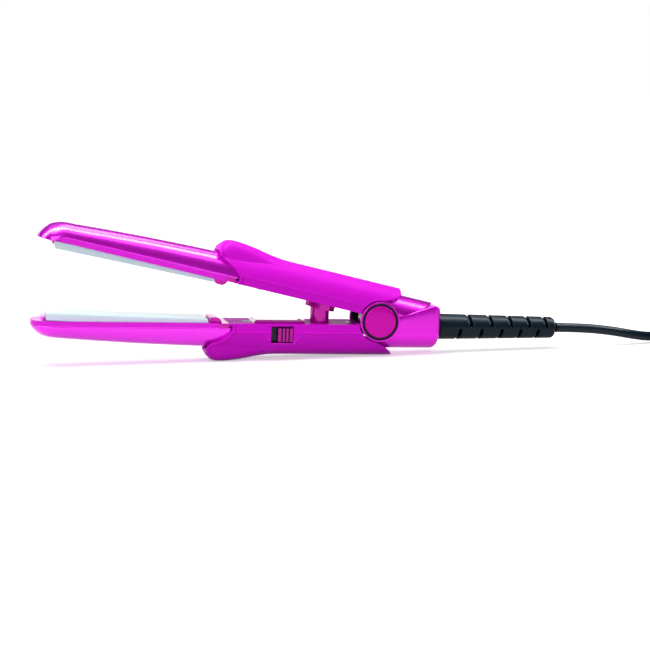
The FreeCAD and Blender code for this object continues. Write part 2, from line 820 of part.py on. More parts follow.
def panel_and_lamp():
    body = new_body("control_panel")
    face = new_sketch(body, "face", "XZ_Plane")
    top = d.panel_height - d.handle_rim
    outline(face, [(-d.panel_front_reach, -d.handle_rim), (-d.panel_rear_reach, -d.handle_rim),
                   (-d.panel_rear_reach, top), (-d.panel_front_reach + 1.3, top)])
    pad(body, face, 2 * d.panel_half_width, symmetric=True)
    lamp_hole = new_sketch(body, "lamp_hole", "XY_Plane", top)
    lamp_reach = d.panel_rear_reach + 2.6
    circle(lamp_hole, -lamp_reach, -4, d.lamp_radius)
    pocket(body, lamp_hole, 1.2)
    keep("control_panel", body, LOWER_ARM)
    lamp = new_body("pilot_lamp")
    lens = new_sketch(lamp, "lens", "XY_Plane", top - 1.2)
    circle(lens, -lamp_reach, -4, d.lamp_radius)
    pad(lamp, lens, 1.5)
    keep("pilot_lamp", lamp, LOWER_ARM)


def board():
    body = new_body("circuit_board")
    face = new_sketch(body, "face", "XY_Plane", -d.board_level)
    box_outline(face, -d.board_front_reach, -d.board_rear_reach,
                -d.board_half_width, d.board_half_width)
    pad(body, face, d.board_thickness, reverse=True)
    holes = new_sketch(body, "holes", "XY_Plane", -d.board_level)
    for reach in (d.board_front_reach - 4.5, d.board_rear_reach + 3.0):
        circle(holes, -reach, 0, d.screw_shank_radius)
    pocket(body, holes, d.board_thickness + 1)
    keep("circuit_board", body, LOWER_ARM)
    parts = new_body("board_components")
    for name, behind, long, across, tall in (("controller", 22.0, 8.0, 6.5, 1.5),
                                             ("triac", 10.4, 5.0, 3.4, 3.4)):
        block = new_sketch(parts, name, "XY_Plane", -d.board_level)
        start = behind - d.board_front_reach
        box_outline(block, start, start + long, -across / 2, across / 2)
        pad(parts, block, tall)
    keep("board_components", parts, LOWER_ARM)


def guide_post():
    body = new_body("guide_post")
    base = -d.board_level
    tube = new_sketch(body, "tube", "XY_Plane", base)
    circle(tube, -d.post_reach, 0, d.post_radius)
    pad(body, tube, d.board_level + d.post_height)
    flange = new_sketch(body, "flange", "XY_Plane", -(d.handle_rim + d.lid_thickness))
    circle(flange, -d.post_reach, 0, d.post_radius + 1.6)
    pad(body, flange, 1.4, reverse=True)
    bore = new_sketch(body, "bore", "XY_Plane", d.post_height)
    circle(bore, -d.post_reach, 0, d.post_bore)
    pocket(body, bore, d.post_height + d.board_level - 1.5)
    keep("guide_post", body, LOWER_ARM)


def collar():
    body = new_body("post_collar")
    ring = new_sketch(body, "ring", "XY_Plane", -d.handle_rim)
    circle(ring, -d.collar_reach, 0, d.collar_radius)
    pad(body, ring, d.collar_height)
    spigot = new_sketch(body, "spigot", "XY_Plane", -d.handle_rim)
    circle(spigot, -d.collar_reach, 0, d.collar_radius - 0.4)
    pad(body, spigot, d.lid_thickness, reverse=True)
    bore = new_sketch(body, "bore", "XY_Plane", d.collar_height)
    circle(bore, -d.collar_reach, 0, d.collar_bore)
    pocket(body, bore, d.collar_height + d.handle_rim + d.lid_thickness + 1)
    keep("post_collar", body, UPPER_ARM)


def nub():
    body = new_body("bump_stop")
    base = new_sketch(body, "base", "XY_Plane", -d.handle_rim)
    circle(base, -d.nub_reach, 0, d.nub_radius)
    pad(body, base, d.nub_height)
    keep("bump_stop", body, UPPER_ARM)


def thermal_fuse(label, upper):
    fuse = doc.addObject("Part::Cylinder", label)
    fuse.setExpression("Radius", d.fuse_radius.text)
    fuse.setExpression("Height", d.fuse_length.text)
    start = Vector(d.fuse_offset.value - plate_middle_reach.value, 0,
                   -(d.tray_depth.value + d.fuse_radius.value))
    keep(label, fuse, arm_place(upper) * Placement(start, Rotation(ACROSS, 90)))


# hinge: pin, bushes, caps, spring

def across_cylinder(label, radius, start, length, bore=None, placement=None, groove=None):
    """A disc, pin or ring on the pivot axis, from start across the iron."""
    body = new_body(label)
    face = new_sketch(body, "face", "XZ_Plane", -as_size(start))
    circle(face, 0, 0, radius)
    if bore is not None:
        circle(face, 0, 0, bore)
    pad(body, face, length, reverse=True)
    keep(label, body, placement or LOWER_ARM)
    return body


def hinge():
    half = d.cheek_outer
    across_cylinder("hinge_pin", d.pin_radius, -half, 2 * half)
    for side, sign in (("near", -1), ("far", 1)):
        # the upper arm's frame is turned over, so its near side is at positive Y
        start = d.lug_inner if sign < 0 else -d.lug_outer
        across_cylinder(f"hinge_bush_{side}", d.bush_radius, start, d.lug_outer - d.lug_inner,
                        bore=d.pin_radius + d.pin_clearance, placement=UPPER_ARM)
        cap(f"pivot_cap_{side}", sign)
        out = d.cheek_outer + 0.1 + d.cap_thickness
        start = out if sign > 0 else -(out + d.badge_thickness)
        across_cylinder(f"pivot_badge_{side}", d.badge_radius, start, d.badge_thickness)


def cap(label, sign):
    """Round cap over the pivot; a groove parts its rim from its middle."""
    body = new_body(label)
    base = d.cheek_outer + 0.1
    inner = new_sketch(body, "disc", "XZ_Plane", -base * sign)
    circle(inner, 0, 0, d.cap_radius)
    pad(body, inner, d.cap_thickness, reverse=sign > 0)
    groove = new_sketch(body, "groove", "XZ_Plane", -(base + d.cap_thickness) * sign)
    circle(groove, 0, 0, d.cap_groove_radius)
    circle(groove, 0, 0, d.cap_groove_radius + d.cap_groove_width)
    pocket(body, groove, d.cap_groove_depth, reverse=sign > 0)
    keep(label, body, LOWER_ARM)


def biarc(start, start_way, end, end_way):
    """Two arcs that leave start and reach end along the given directions, tangent where they meet."""
    gap = end - start
    ways = start_way + end_way
    along = gap.dot(ways)
    spread = 2 * (1 - start_way.dot(end_way))
    if spread < 1e-9:
        reach = gap.dot(gap) / (2 * along)
    else:
        reach = (-along + math.sqrt(along * along + spread * gap.dot(gap))) / spread
    first = start + start_way * reach
    second = end - end_way * reach
    joint = (first + second) / 2
    return [tangent_arc(start, first, joint), tangent_arc(joint, second, end)]


def tangent_arc(start, corner, end):
    """The arc that touches both legs of an even-sided corner."""
    chord = (start + end) / 2
    lean = (corner - chord)
    half = (end - start).Length / 2
    height = lean.Length
    leg = math.hypot(half, height)
    radius = leg * half / height
    middle = chord + lean.normalize() * (radius - math.sqrt(radius * radius - half * half))
    return Part.Arc(start, middle, end).toShape()


def sweep_round(path_edges, radius):
    """One unbroken tube along a path of lines and arcs."""
    path = Part.Wire(path_edges)
    first = path_edges[0]
    start = first.Vertexes[0].Point
    way = first.tangentAt(first.FirstParameter)
    ring = Part.Wire(Part.makeCircle(radius, start, way))
    return path.makePipeShell([ring], True, False)


def least_gap(line, diameter, skip):
    """The least gap between stretches of a line of points, at least skip apart along it."""
    best = 1e9
    for i, point in enumerate(line):
        for other in line[i + skip:]:
            best = min(best, point.distanceToPoint(other))
    return best - diameter


def torsion_spring():
    """Closed-wound round wire about the pivot axis, with a leg for each arm."""
    radius = d.spring_mean_radius.value
    pitch = d.spring_pitch.value
    turns = d.spring_turns.value + 0.5 - d.opening_angle.value / 360
    width = pitch * turns
    begin = math.radians(-90)

    def at(turn):
        angle = begin + 2 * math.pi * turn
        return Vector(radius * math.cos(angle), pitch * turn - width / 2,
                      radius * math.sin(angle))

    def way(turn):
        angle = begin + 2 * math.pi * turn
        return Vector(-radius * 2 * math.pi * math.sin(angle), pitch,
                      radius * 2 * math.pi * math.cos(angle)).normalize()

    steps = [0.25 * i for i in range(int(turns / 0.25) + 1)]
    if turns - steps[-1] > 0.02:
        steps.append(turns)
    leg = d.spring_leg.value
    edges = [Part.LineSegment(at(0) - way(0) * leg, at(0)).toShape()]
    for a, b in zip(steps, steps[1:]):
        edges += biarc(at(a), way(a), at(b), way(b))
    edges.append(Part.LineSegment(at(turns), at(turns) + way(turns) * leg).toShape())
    feature = doc.addObject("Part::Feature", "torsion_spring")
    feature.Shape = sweep_round(edges, d.spring_wire.value / 2)
    keep("torsion_spring", feature, LOWER_ARM)
    line = [at(turns * i / 400) for i in range(401)]
    gap = least_gap(line, d.spring_wire.value, 45)
    print(f"torsion spring: {turns:.2f} turns, least gap to itself {gap:.2f} mm")


# tail of the upper arm and rear housing

def tail():
    """Metallic wedge behind the upper handle; its underside rests on the housing when open."""
    body = new_body("hinge_tail")
    start = -d.tail_front_reach
    section = arch(body, "section", start, d.tail_half_width, 0.0, 6.3, d.tail_depth, 7.0)
    pad(body, section, d.tail_front_reach + d.tail_reach)
    eye = new_sketch(body, "eye", "XZ_Plane")
    circle(eye, 0, 0, d.tail_arc_radius)
    pocket(body, eye, 4 * d.tail_half_width, symmetric=True)
    lean = d.slope_angle.value + d.opening_angle.value
    slope = math.tan(math.radians(lean))
    turn = math.radians(d.opening_angle.value)
    lift = d.stop_gap.value + d.slope_height.value * math.cos(math.radians(d.slope_angle.value))
    level = lift / math.cos(math.radians(lean))
    under = new_sketch(body, "under", "XZ_Plane")
    far = d.tail_reach + 8
    outline(under, [(-d.tail_front_reach - 2, 2), (-d.tail_front_reach - 2, -8),
                    (0, -8), (4, -(4 * slope + level)),
                    (far, -(far * slope + level)), (far, 2)])
    pocket(body, under, 4 * d.tail_half_width, symmetric=True)
    crown_wall = 2.0
    cave = new_sketch(body, "cave", "XZ_Plane")
    outline(cave, [(-d.tail_front_reach - 2, 2), (-d.tail_front_reach - 2, crown_wall - d.tail_depth),
                   (d.tail_arc_radius, crown_wall - d.tail_depth), (d.tail_arc_radius, 2)])
    pocket(body, cave, 2 * d.lug_inner, symmetric=True)
    for sign in (-1, 1):
        lug = new_sketch(body, f"lug{sign + 1}", "XZ_Plane", d.lug_inner * -sign)
        circle(lug, 0, 0, d.lug_radius)
        pad(body, lug, d.lug_outer - d.lug_inner, reverse=sign > 0)
        web = new_sketch(body, f"web{sign + 1}", "XZ_Plane", d.lug_inner * -sign)
        box_outline(web, -d.lug_radius, d.lug_radius, -(d.tail_depth - 3.0), 0)
        pad(body, web, d.lug_outer - d.lug_inner, reverse=sign > 0)
        rail = new_sketch(body, f"rail{sign + 1}", "XZ_Plane", Size(4.0) * -sign)
        seat = d.spring_mean_radius + d.spring_wire / 2 + 0.1
        low, high = 0.6 - d.tail_depth, 4.2 - d.tail_depth
        outline(rail, [(-21, low), (-21, high), (-10.2, high), (-10.2, -seat), (-5, -seat),
                       (-5, high), (-3, high), (-3, low)])
        pad(body, rail, 3.2, reverse=sign > 0)
    bore = new_sketch(body, "bore", "XZ_Plane")
    circle(bore, 0, 0, d.bush_radius)
    pocket(body, bore, 2 * d.lug_outer + 1, symmetric=True)
    keep("hinge_tail", body, UPPER_ARM)


def housing_half(side, sign):
    """One half of the rear housing: it carries the hinge pin and the strain relief."""
    label = f"rear_housing_{side}"
    body = new_body(label)
    wall = d.housing_wall
    start = Size(-2.0)

    def half_section(name, distance, inset, top):
        corner = 7.0 - inset
        _, _, corner, crown, joint, level = arch_points(
            d.housing_half_width - inset, 0.0, Size(6.3), d.housing_depth - inset, corner)
        width = d.housing_half_width - inset
        sketch = new_sketch(body, name, "YZ_Plane", distance)
        points = [(0, top), (width * sign, top), (width * sign, -6.3), (joint * sign, level),
                  (0, -(d.housing_depth - inset))]
        outline(sketch, points, {2: (corner, sign), 3: (crown, sign)})
        return sketch

    block = half_section("outside", start, Size(0.0), d.housing_top)
    pad(body, block, d.housing_reach - start)
    doc.recompute()
    solid = body.Tip
    rim = [f"Edge{i + 1}" for i, edge in enumerate(solid.Shape.Edges)
           if edge.CenterOfMass.x > d.housing_reach.value - 1e-4
           and abs(edge.CenterOfMass.y) > 0.01]
    rounding = body.newObject("PartDesign::Fillet", label + "_rounding")
    rounding.Base = (solid, rim)
    rounding.Radius = d.housing_end_radius.value
    rounding.setExpression("Radius", d.housing_end_radius.text)
    slope = math.tan(math.radians(d.slope_angle.value))
    top = new_sketch(body, "slope", "XZ_Plane")
    far = d.housing_reach + 4
    outline(top, [(start - 2, d.slope_height + (start - 2) * slope), (far, d.slope_height + far * slope),
                  (far, 30), (start - 2, 30)])
    pocket(body, top, 3 * d.housing_half_width, symmetric=True)
    end_wall = d.housing_reach - wall - 0.4
    flange_room = d.relief_flange + 2 * d.relief_clearance
    front_wall = d.knuckle_space_radius - 2
    hollow = new_sketch(body, "hollow", "XZ_Plane")
    low = 3.0 - d.housing_depth
    outline(hollow, [(front_wall, low), (end_wall - flange_room, low),
                     (end_wall - flange_room, d.slope_height + (end_wall - flange_room) * slope - wall),
                     (front_wall, d.slope_height + front_wall * slope - wall)])
    pocket(body, hollow, 2 * (d.housing_half_width - 2.2 * wall), symmetric=True)
    recess = new_sketch(body, "recess", "YZ_Plane", end_wall - flange_room - 0.2)
    circle(recess, 0, -d.relief_drop, d.relief_flange_radius + d.relief_clearance)
    pocket(body, recess, flange_room + 0.2, reverse=True)
    space = new_sketch(body, "space", "XZ_Plane")
    circle(space, 0, 0, d.knuckle_space_radius)
    pocket(body, space, 2 * (d.cheek_inner - 0.05), symmetric=True)
    lower_front = new_sketch(body, "lower_front", "XZ_Plane")
    outline(lower_front, [(start - 1, -11.6), (4.9, -13.0), (7.4, -15.4), (8.4, -20), (start - 1, -20)])
    pocket(body, lower_front, 3 * d.housing_half_width, symmetric=True)
    ahead = new_sketch(body, "ahead", "XZ_Plane")
    outline(ahead, [(start - 1, 30), (start - 1, -20), (0.2, -20), (0.2, 30)])
    pocket(body, ahead, 3 * d.housing_half_width, symmetric=True)
    cheek = new_sketch(body, "cheek", "XZ_Plane", d.cheek_inner * -sign)
    circle(cheek, 0, 0, d.cheek_radius)
    pad(body, cheek, d.cheek_outer - d.cheek_inner, reverse=sign > 0)
    bore = new_sketch(body, "bore", "XZ_Plane")
    circle(bore, 0, 0, d.pin_radius)
    pocket(body, bore, 4 * d.housing_half_width, symmetric=True)
    mouth = new_sketch(body, "mouth", "YZ_Plane", d.housing_reach - 5)
    circle(mouth, 0, -d.relief_drop, d.relief_root_radius + d.relief_clearance)
    pocket(body, mouth, 8.0, reverse=True)
    rail = new_sketch(body, "rail", "XZ_Plane", Size(4.2) * -sign)
    seat = d.spring_mean_radius + d.spring_wire / 2 + 0.1
    outline(rail, [(-16.5, -12.3), (-10.2, -12.3), (-10.2, -seat), (-5.0, -seat), (-5.0, -12.3),
                   (6.0, -12.3), (9.5, -14.0), (9.5, -15.9), (-16.5, -15.9)])
    pad(body, rail, 3.0, reverse=sign > 0)
    keep(label, body, LOWER_ARM)


# strain relief and what turns with it

def relief():
    """Slotted rubber boot, drawn about its own axis."""
    body = new_body("cord_relief")
    profile = new_sketch(body, "profile", "XZ_Plane")
    root = d.housing_reach - d.housing_wall - 0.4
    flange_front = root - d.relief_clearance - d.relief_flange
    end = d.relief_reach
    outline(profile, [(flange_front, 0), (flange_front, d.relief_flange_radius),
                      (root - d.relief_clearance, d.relief_flange_radius),
                      (root - d.relief_clearance, d.relief_root_radius),
                      (end - d.relief_nose, d.relief_end_radius), (end, d.relief_bore + 0.5),
                      (end, 0)],
            {4: (d.relief_nose + 0.6, 1)})
    turned = body.newObject("PartDesign::Revolution", "cord_relief_turned")
    turned.Profile = profile
    turned.ReferenceAxis = (next(o for o in body.Origin.OriginFeatures if o.Role == "X_Axis"), [""])
    turned.Angle = 360
    slots = new_sketch(body, "slots", "XZ_Plane")
    reach = d.slot_first_reach
    pitch = d.slot_pitch / 2
    tall = d.relief_flange_radius + 2
    for i in range(10):
        low, high = (-tall, -d.slot_spine) if i % 2 == 0 else (d.slot_spine, tall)
        box_outline(slots, reach - d.slot_width / 2, reach + d.slot_width / 2, low, high)
        reach = reach + pitch
        pitch = pitch * (d.slot_pitch_ratio.root())
    pocket(body, slots, 3 * d.relief_root_radius, symmetric=True)
    core = new_sketch(body, "core", "YZ_Plane", flange_front)
    circle(core, 0, 0, d.slot_core_radius)
    pad(body, core, end - flange_front)
    place = LOWER_ARM * Placement(Vector(0, 0, -d.relief_drop.value), Rotation())
    keep("cord_relief", body, place)
    spool = new_body("swivel_core")
    end_face = new_sketch(spool, "end", "YZ_Plane", flange_front)
    circle(end_face, 0, 0, d.slot_core_radius)
    pad(spool, end_face, 7.6, reverse=True)
    keep("swivel_core", spool, place)
    rings = new_body("swivel_rings")
    for i in range(2):
        ring = new_sketch(rings, f"ring{i}", "YZ_Plane", flange_front - 1.2 - 3.2 * i)
        circle(ring, 0, 0, d.slot_core_radius + 0.8)
        circle(ring, 0, 0, d.slot_core_radius)
        pad(rings, ring, 1.8, reverse=True)
    keep("swivel_rings", rings, place)
    block_rear = flange_front - 7.6 - 0.3
    part_box("contact_block", block_rear - 11, block_rear, -4.4, 4.4, -13.1, -0.5, LOWER_ARM)


# cord, hank, tie and plug

cap_side = d.cheek_outer + 0.1 + d.cap_thickness + d.badge_thickness


def tangent_path(points):
    """Straight runs joined by tangent arcs, each as large as its two runs allow."""
    edges = []
    radii = []
    start = points[0]
    for before, corner, after in zip(points, points[1:], points[2:]):
        come, leave = corner - before, after - corner
        turn = come.getAngle(leave)
        short = min(come.Length, leave.Length)
        radius = 0.45 * short / math.tan(turn / 2)
        cut = 0.45 * short
        come.normalize()
        leave.normalize()
        enter, exit_point = corner - come * cut, corner + leave * cut
        edges.append(Part.LineSegment(start, enter).toShape())
        edges.append(tangent_arc(enter, corner, exit_point))
        radii.append(radius)
        start = exit_point
    edges.append(Part.LineSegment(start, points[-1]).toShape())
    return edges, radii


class Hank:
    """The bundled length: flat loops of two runs and two half turns, in two lanes.

    The cord comes in along an inner run, winds up level by level in the inner lane, steps out at
    the top, and winds down again in the outer lane, over the run that it came in by.
    """

    def __init__(self, left, far_side):
        self.diameter = d.cord_diameter.value
        self.floor = d.tie_thickness.value + 0.1 + self.diameter / 2
        self.pitch = self.diameter + d.turn_gap.value
        self.inner = d.hank_fold_radius.value
        self.outer = self.inner + self.pitch
        self.half_run = d.hank_run.value / 2
        self.levels = int(round(d.hank_levels.value))
        self.half_width = self.outer + self.diameter / 2
        self.centre = Vector(left + self.half_width + self.half_run,
                             far_side - self.half_width - d.tie_thickness.value - 0.1, 0)
        self.places = []
        self.wind()

    def height(self, level):
        return self.floor + self.pitch * (level - 1)

    def add(self, along, across, up, way):
        self.places.append((self.centre + Vector(along, across, up), way.normalize()))

    def half_turn(self, end, radius, low, high):
        """A fold round the hank's end; a change of level is over after three quarters of it."""
        steps = (0.5, 1.0) if low == high else (0.25, 0.5, 0.75, 1.0)
        rise = self.height(high) - self.height(low)
        start = math.radians(90 * end)
        for share in steps:
            part = min(share / 0.75, 1.0)
            up = self.height(low) + rise * (0.5 - 0.5 * math.cos(math.pi * part))
            climb = rise * math.sin(math.pi * part) / 1.5
            angle = start - math.pi * share
            way = Vector(math.sin(angle), -math.cos(angle), climb / radius)
            self.add(end * self.half_run + radius * math.cos(angle), radius * math.sin(angle),
                     up, way)

    def straight(self, side, radius, level):
        """The rest of a run, level at its end, where a step of lane or level has ended."""
        self.add(side * self.half_run, side * radius, self.height(level), Vector(side, 0, 0))

    def wind(self):
        inner, outer, top = self.inner, self.outer, self.levels
        self.add(-self.half_run, inner, self.height(1), Vector(1, 0, 0))
        self.straight(1, inner, 1)
        for level in range(1, top + 1):
            self.half_turn(1, inner, level, level)
            if level < top:
                self.straight(-1, inner, level)
                self.half_turn(-1, inner, level, level + 1)
                self.straight(1, inner, level + 1)
        self.add(0, -outer, self.height(top), Vector(-1, 0, 0))
        self.straight(-1, outer, top - 1)
        for level in range(top - 1, 0, -1):
            self.half_turn(-1, outer, level, level + 1)
            self.straight(1, outer, level)
            if level > 1:
                self.half_turn(1, outer, level, level - 1)
                self.straight(-1, outer, level - 1)

    def edges(self):
        """Runs as lines, folds and steps as pairs of arcs."""
        found = []
        for (a, way_a), (b, way_b) in zip(self.places, self.places[1:]):
            chord = b - a
            chord.normalize()
            if chord.dot(way_a) > 1 - 1e-9 and chord.dot(way_b) > 1 - 1e-9:
                found.append(Part.LineSegment(a, b).toShape())
            else:
                found += biarc(a, way_a, b, way_b)
        return found


def tube_node(label, edges):
    feature = doc.addObject("Part::Feature", label)
    feature.Shape = sweep_round(edges, d.cord_diameter.value / 2)
    keep(label, feature, Placement())
    length = sum(edge.Length for edge in edges)
    section = math.pi * d.cord_diameter.value ** 2 / 4
    print(f"{label}: {length:.0f} mm long, volume over section times length",
          f"{feature.Shape.Volume / (section * length):.4f}")


def cord():
    leave = LOWER_ARM.multVec(Vector(d.relief_reach.value + 0.05, 0, -d.relief_drop.value))
    hank = Hank(leave.x + d.hank_lead_in.value, cap_side.value)
    stub = d.cord_diameter.value
    start, way = hank.places[0]
    join = start - way * stub
    points = [leave + Vector(*step) for step in CORD_ROUTE]
    points += [join - way * 3 * stub, join - way * 0.05]
    edges, radii = tangent_path(points)
    tube_node("power_cord", edges)
    print("free cord radii:", ", ".join(f"{radius:.0f}" for radius in radii), "mm")

    end, way = hank.places[-1]
    edges = [Part.LineSegment(join, start).toShape()]
    edges += hank.edges()
    edges.append(Part.LineSegment(end, end + way * stub).toShape())
    tube_node("cord_coil", edges)
    line = []
    for edge in edges:
        line += edge.discretize(Distance=2.0)[:-1]
    print("hank: least gap to itself", f"{least_gap(line, d.cord_diameter.value, 12):.2f} mm, centre",
          tuple(round(v, 2) for v in hank.centre))

    start = end + way * (stub + 0.05)
    plug_side = cap_side.value - d.plug_half_width.value
    aside = plug_side - start.y
    lift = d.plug_height.value / 2 - start.z
    lead = [start + Vector(*step) for step in ((0, 0, 0), (10, 0, 0), (24.5, aside, lift),
                                               (34.5, aside, lift))]
    edges, radii = tangent_path(lead)
    tube_node("plug_lead", edges)
    print("plug lead radii:", ", ".join(f"{radius:.0f}" for radius in radii), "mm")
    cord_tie(hank)
    plug(lead[-1] + Vector(0.05, 0, 0))


def rounded_box(sketch, half_width, low, high, corner):
    """A rectangle whose corners are quarter circles, symmetric about the sketch's upright."""
    half_width, low, high, corner = (as_size(v) for v in (half_width, low, high, corner))
    outline(sketch, [(half_width, low + corner), (half_width, high - corner),
                     (half_width - corner, high), (corner - half_width, high),
                     (-half_width, high - corner), (-half_width, low + corner),
                     (corner - half_width, low), (half_width - corner, low)],
            {1: (corner, -1), 3: (corner, -1), 5: (corner, -1), 7: (corner, -1)})


def cord_tie(hank):
    """Flat strap round the hank's waist."""
    body = new_body("cord_tie")
    wall = d.tie_thickness
    half = d.hank_fold_radius + d.cord_diameter * 1.5 + d.turn_gap + 0.1
    pitch = d.cord_diameter + d.turn_gap
    low, high = wall, wall + 0.2 + d.cord_diameter + pitch * (d.hank_levels - 1)
    ring = new_sketch(body, "ring", "XZ_Plane")
    rounded_box(ring, half + wall, low - wall, high + wall, d.cord_diameter / 2 + wall)
    rounded_box(ring, half, low, high, d.cord_diameter / 2)
    pad(body, ring, d.tie_width, symmetric=True)
    keep("cord_tie", body, Placement(hank.centre, Rotation(Vector(0, 0, 1), 90)))


def plug(start):
    """Moulded plug drawn about its own axis, with two flat blades."""
    body = new_body("plug_body")
    high = d.plug_height / 2
    wide = d.plug_half_width
    waist = d.cord_diameter / 2 + 1.4
    stations = [(Size(0.0), waist, waist, waist * 0.8), (Size(7.0), waist + 0.8, waist + 0.6, waist * 0.8),
                (Size(14.0), wide * 0.92, high * 0.95, high * 0.6), (d.plug_length, wide, high, high * 0.35)]
    sections = []
    for i, (x, across, up, corner) in enumerate(stations):
        sketch = new_sketch(body, f"section{i}", "YZ_Plane", x)
        rounded_box(sketch, across, -up, up, corner)
        sections.append(sketch)
    loft(body, "AdditiveLoft", "grip", sections)
    place = Placement(start, Rotation())
    keep("plug_body", body, place)
    blades = new_body("plug_blades")
    root = new_sketch(blades, "root", "YZ_Plane", d.plug_length + 0.02)
    half = d.blade_spacing / 2
    for sign in (-1, 1):
        box_outline(root, half * sign - d.blade_thickness / 2, half * sign + d.blade_thickness / 2,
                    -d.blade_width / 2, d.blade_width / 2)
    pad(blades, root, d.blade_length)
    keep("plug_blades", blades, place)


def build():
    for side, upper in (("lower", False), ("upper", True)):
        barrel_shell(f"{side}_barrel", upper)
        plate_carrier(f"{side}_plate_carrier", upper)
        plate(f"{side}_plate", upper)
        heater(f"{side}_heater", upper)
        cushions(f"{side}_plate_cushions", upper)
        front_stop(f"{side}_front_stop", upper)
        neck(f"{side}_neck", upper)
        handle_cover(f"{side}_handle", upper)
        lid(f"{side}_inner_cover", upper)
        screws(f"{side}_cover_screws", upper,
               (d.lid_screw_front_reach, d.lid_screw_rear_reach), d.handle_rim,
               d.screw_head_radius, d.screw_head_height, Size(5.0))
        thermal_fuse(f"{side}_thermal_fuse", upper)
    slide_switch()
    panel_and_lamp()
    board()
    screws("board_screws", False, (d.board_front_reach - 4.5, d.board_rear_reach + 3.0),
           d.board_level - d.board_screw_head_height, d.board_screw_head_radius,
           d.board_screw_head_height, d.board_screw_length)
    guide_post()
    collar()
    nub()
    hinge()
    torsion_spring()
    tail()
    housing_half("near", -1)
    housing_half("far", 1)
    relief()
    cord()


def check_and_export():
    doc.recompute()
    for item in doc.Objects:
        if "Invalid" in item.State or "Error" in item.State:
            raise RuntimeError(f"{item.Label} failed: {item.State}")
    os.makedirs("parts", exist_ok=True)
    for label, item in nodes.items():
        shape = item.Shape
        if shape.isNull() or not shape.isValid():
            raise RuntimeError(f"{label} has no valid shape")
        shape.exportStep(f"parts/{label}.step")
    print(f"{len(nodes)} sub-parts written; rest tilt {REST_TILT:.3f} degrees, pivot",
          tuple(round(v, 3) for v in PIVOT))


build()
check_and_export()
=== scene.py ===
"""Dressed model of an open hair iron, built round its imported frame.

Arm pieces are worked out in the arm frame, in millimetres: the origin is on the pivot axis, x runs
to the cord, y across the iron, and depth runs out of the arm's back.  ArmFrame turns those numbers
into row-frame metres for the lower arm, and for the upper arm, which is the same frame turned over.
"""

import json
import logging
import math
from dataclasses import dataclass, field
from enum import Enum
from typing import Optional, Sequence

import bmesh
import bpy
import numpy as np
from mathutils import Matrix, Vector

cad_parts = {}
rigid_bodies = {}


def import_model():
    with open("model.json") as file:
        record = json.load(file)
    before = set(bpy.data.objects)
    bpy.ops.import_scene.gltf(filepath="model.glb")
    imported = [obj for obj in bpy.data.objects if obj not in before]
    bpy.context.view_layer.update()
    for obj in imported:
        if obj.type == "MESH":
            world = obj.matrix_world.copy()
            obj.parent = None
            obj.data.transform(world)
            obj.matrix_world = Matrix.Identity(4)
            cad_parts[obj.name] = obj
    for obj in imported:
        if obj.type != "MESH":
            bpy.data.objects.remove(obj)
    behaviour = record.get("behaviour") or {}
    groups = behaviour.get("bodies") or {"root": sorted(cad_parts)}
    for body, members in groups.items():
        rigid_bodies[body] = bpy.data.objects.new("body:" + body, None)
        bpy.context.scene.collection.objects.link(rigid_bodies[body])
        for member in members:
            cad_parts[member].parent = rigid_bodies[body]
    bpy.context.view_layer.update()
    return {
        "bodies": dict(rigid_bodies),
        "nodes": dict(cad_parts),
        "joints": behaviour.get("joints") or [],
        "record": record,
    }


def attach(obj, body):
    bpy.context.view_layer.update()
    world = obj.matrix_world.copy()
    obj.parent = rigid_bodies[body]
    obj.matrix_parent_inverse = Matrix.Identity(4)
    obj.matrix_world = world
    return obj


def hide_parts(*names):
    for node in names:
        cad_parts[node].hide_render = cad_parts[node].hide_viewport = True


Array = np.ndarray
Numbers = float | Array
Pair = tuple[float, float]
Triple = tuple[float, float, float]
Colour = Triple
Table = tuple[float, ...]
Profile = tuple[Pair, ...]
Object = bpy.types.Object
Tree = bpy.types.NodeTree
Node = bpy.types.Node
Socket = bpy.types.NodeSocket
log = logging.getLogger("hair_iron")
MM = 0.001
MERGE_DISTANCE = 2e-6
DISSOLVE_DISTANCE = 1e-6


# frames and tables


class Side(Enum):
    """The two arms: their node prefix, the body they ride on, and whether the arm is turned over."""

    LOWER = ("lower", "lower_arm", False)
    UPPER = ("upper", "upper_arm", True)

    def __init__(self, prefix: str, body: str, turned: bool) -> None:
        """Keeps the arm's words."""
        self.prefix = prefix
        self.body = body
        self.turned = turned


@dataclass(frozen=True)
class ArmFrame:
    """Place of an arm's frame at rest."""

    side: Side
    pivot_x: float = 41.721
    pivot_z: float = 20.029
    rest_tilt: float = 2.351
    opening: float = 12.45

    def place(self, x: Array, y: Array, depth: Array) -> Array:
        """Turns arm-frame millimetres into row-frame metres.

        Args:
            x: distance along the arm, to the cord.
            y: distance across the arm.
            depth: distance out of the arm's back.

        Returns:
            Points with a last axis of three: the arm frame turned by its tilt about the pivot
            axis; the upper arm is first turned over, which changes the signs of y and height.
        """
        x, y, depth = np.broadcast_arrays(x, y, depth)
        sign = -1.0 if self.side.turned else 1.0
        angle = math.radians(self.rest_tilt + (self.opening if self.side.turned else 0.0))
        height = -depth * sign
        across = self.pivot_x + x * math.cos(angle) + height * math.sin(angle)
        up = self.pivot_z - x * math.sin(angle) + height * math.cos(angle)
        return np.stack([across, y * sign, up], axis=-1) * MM


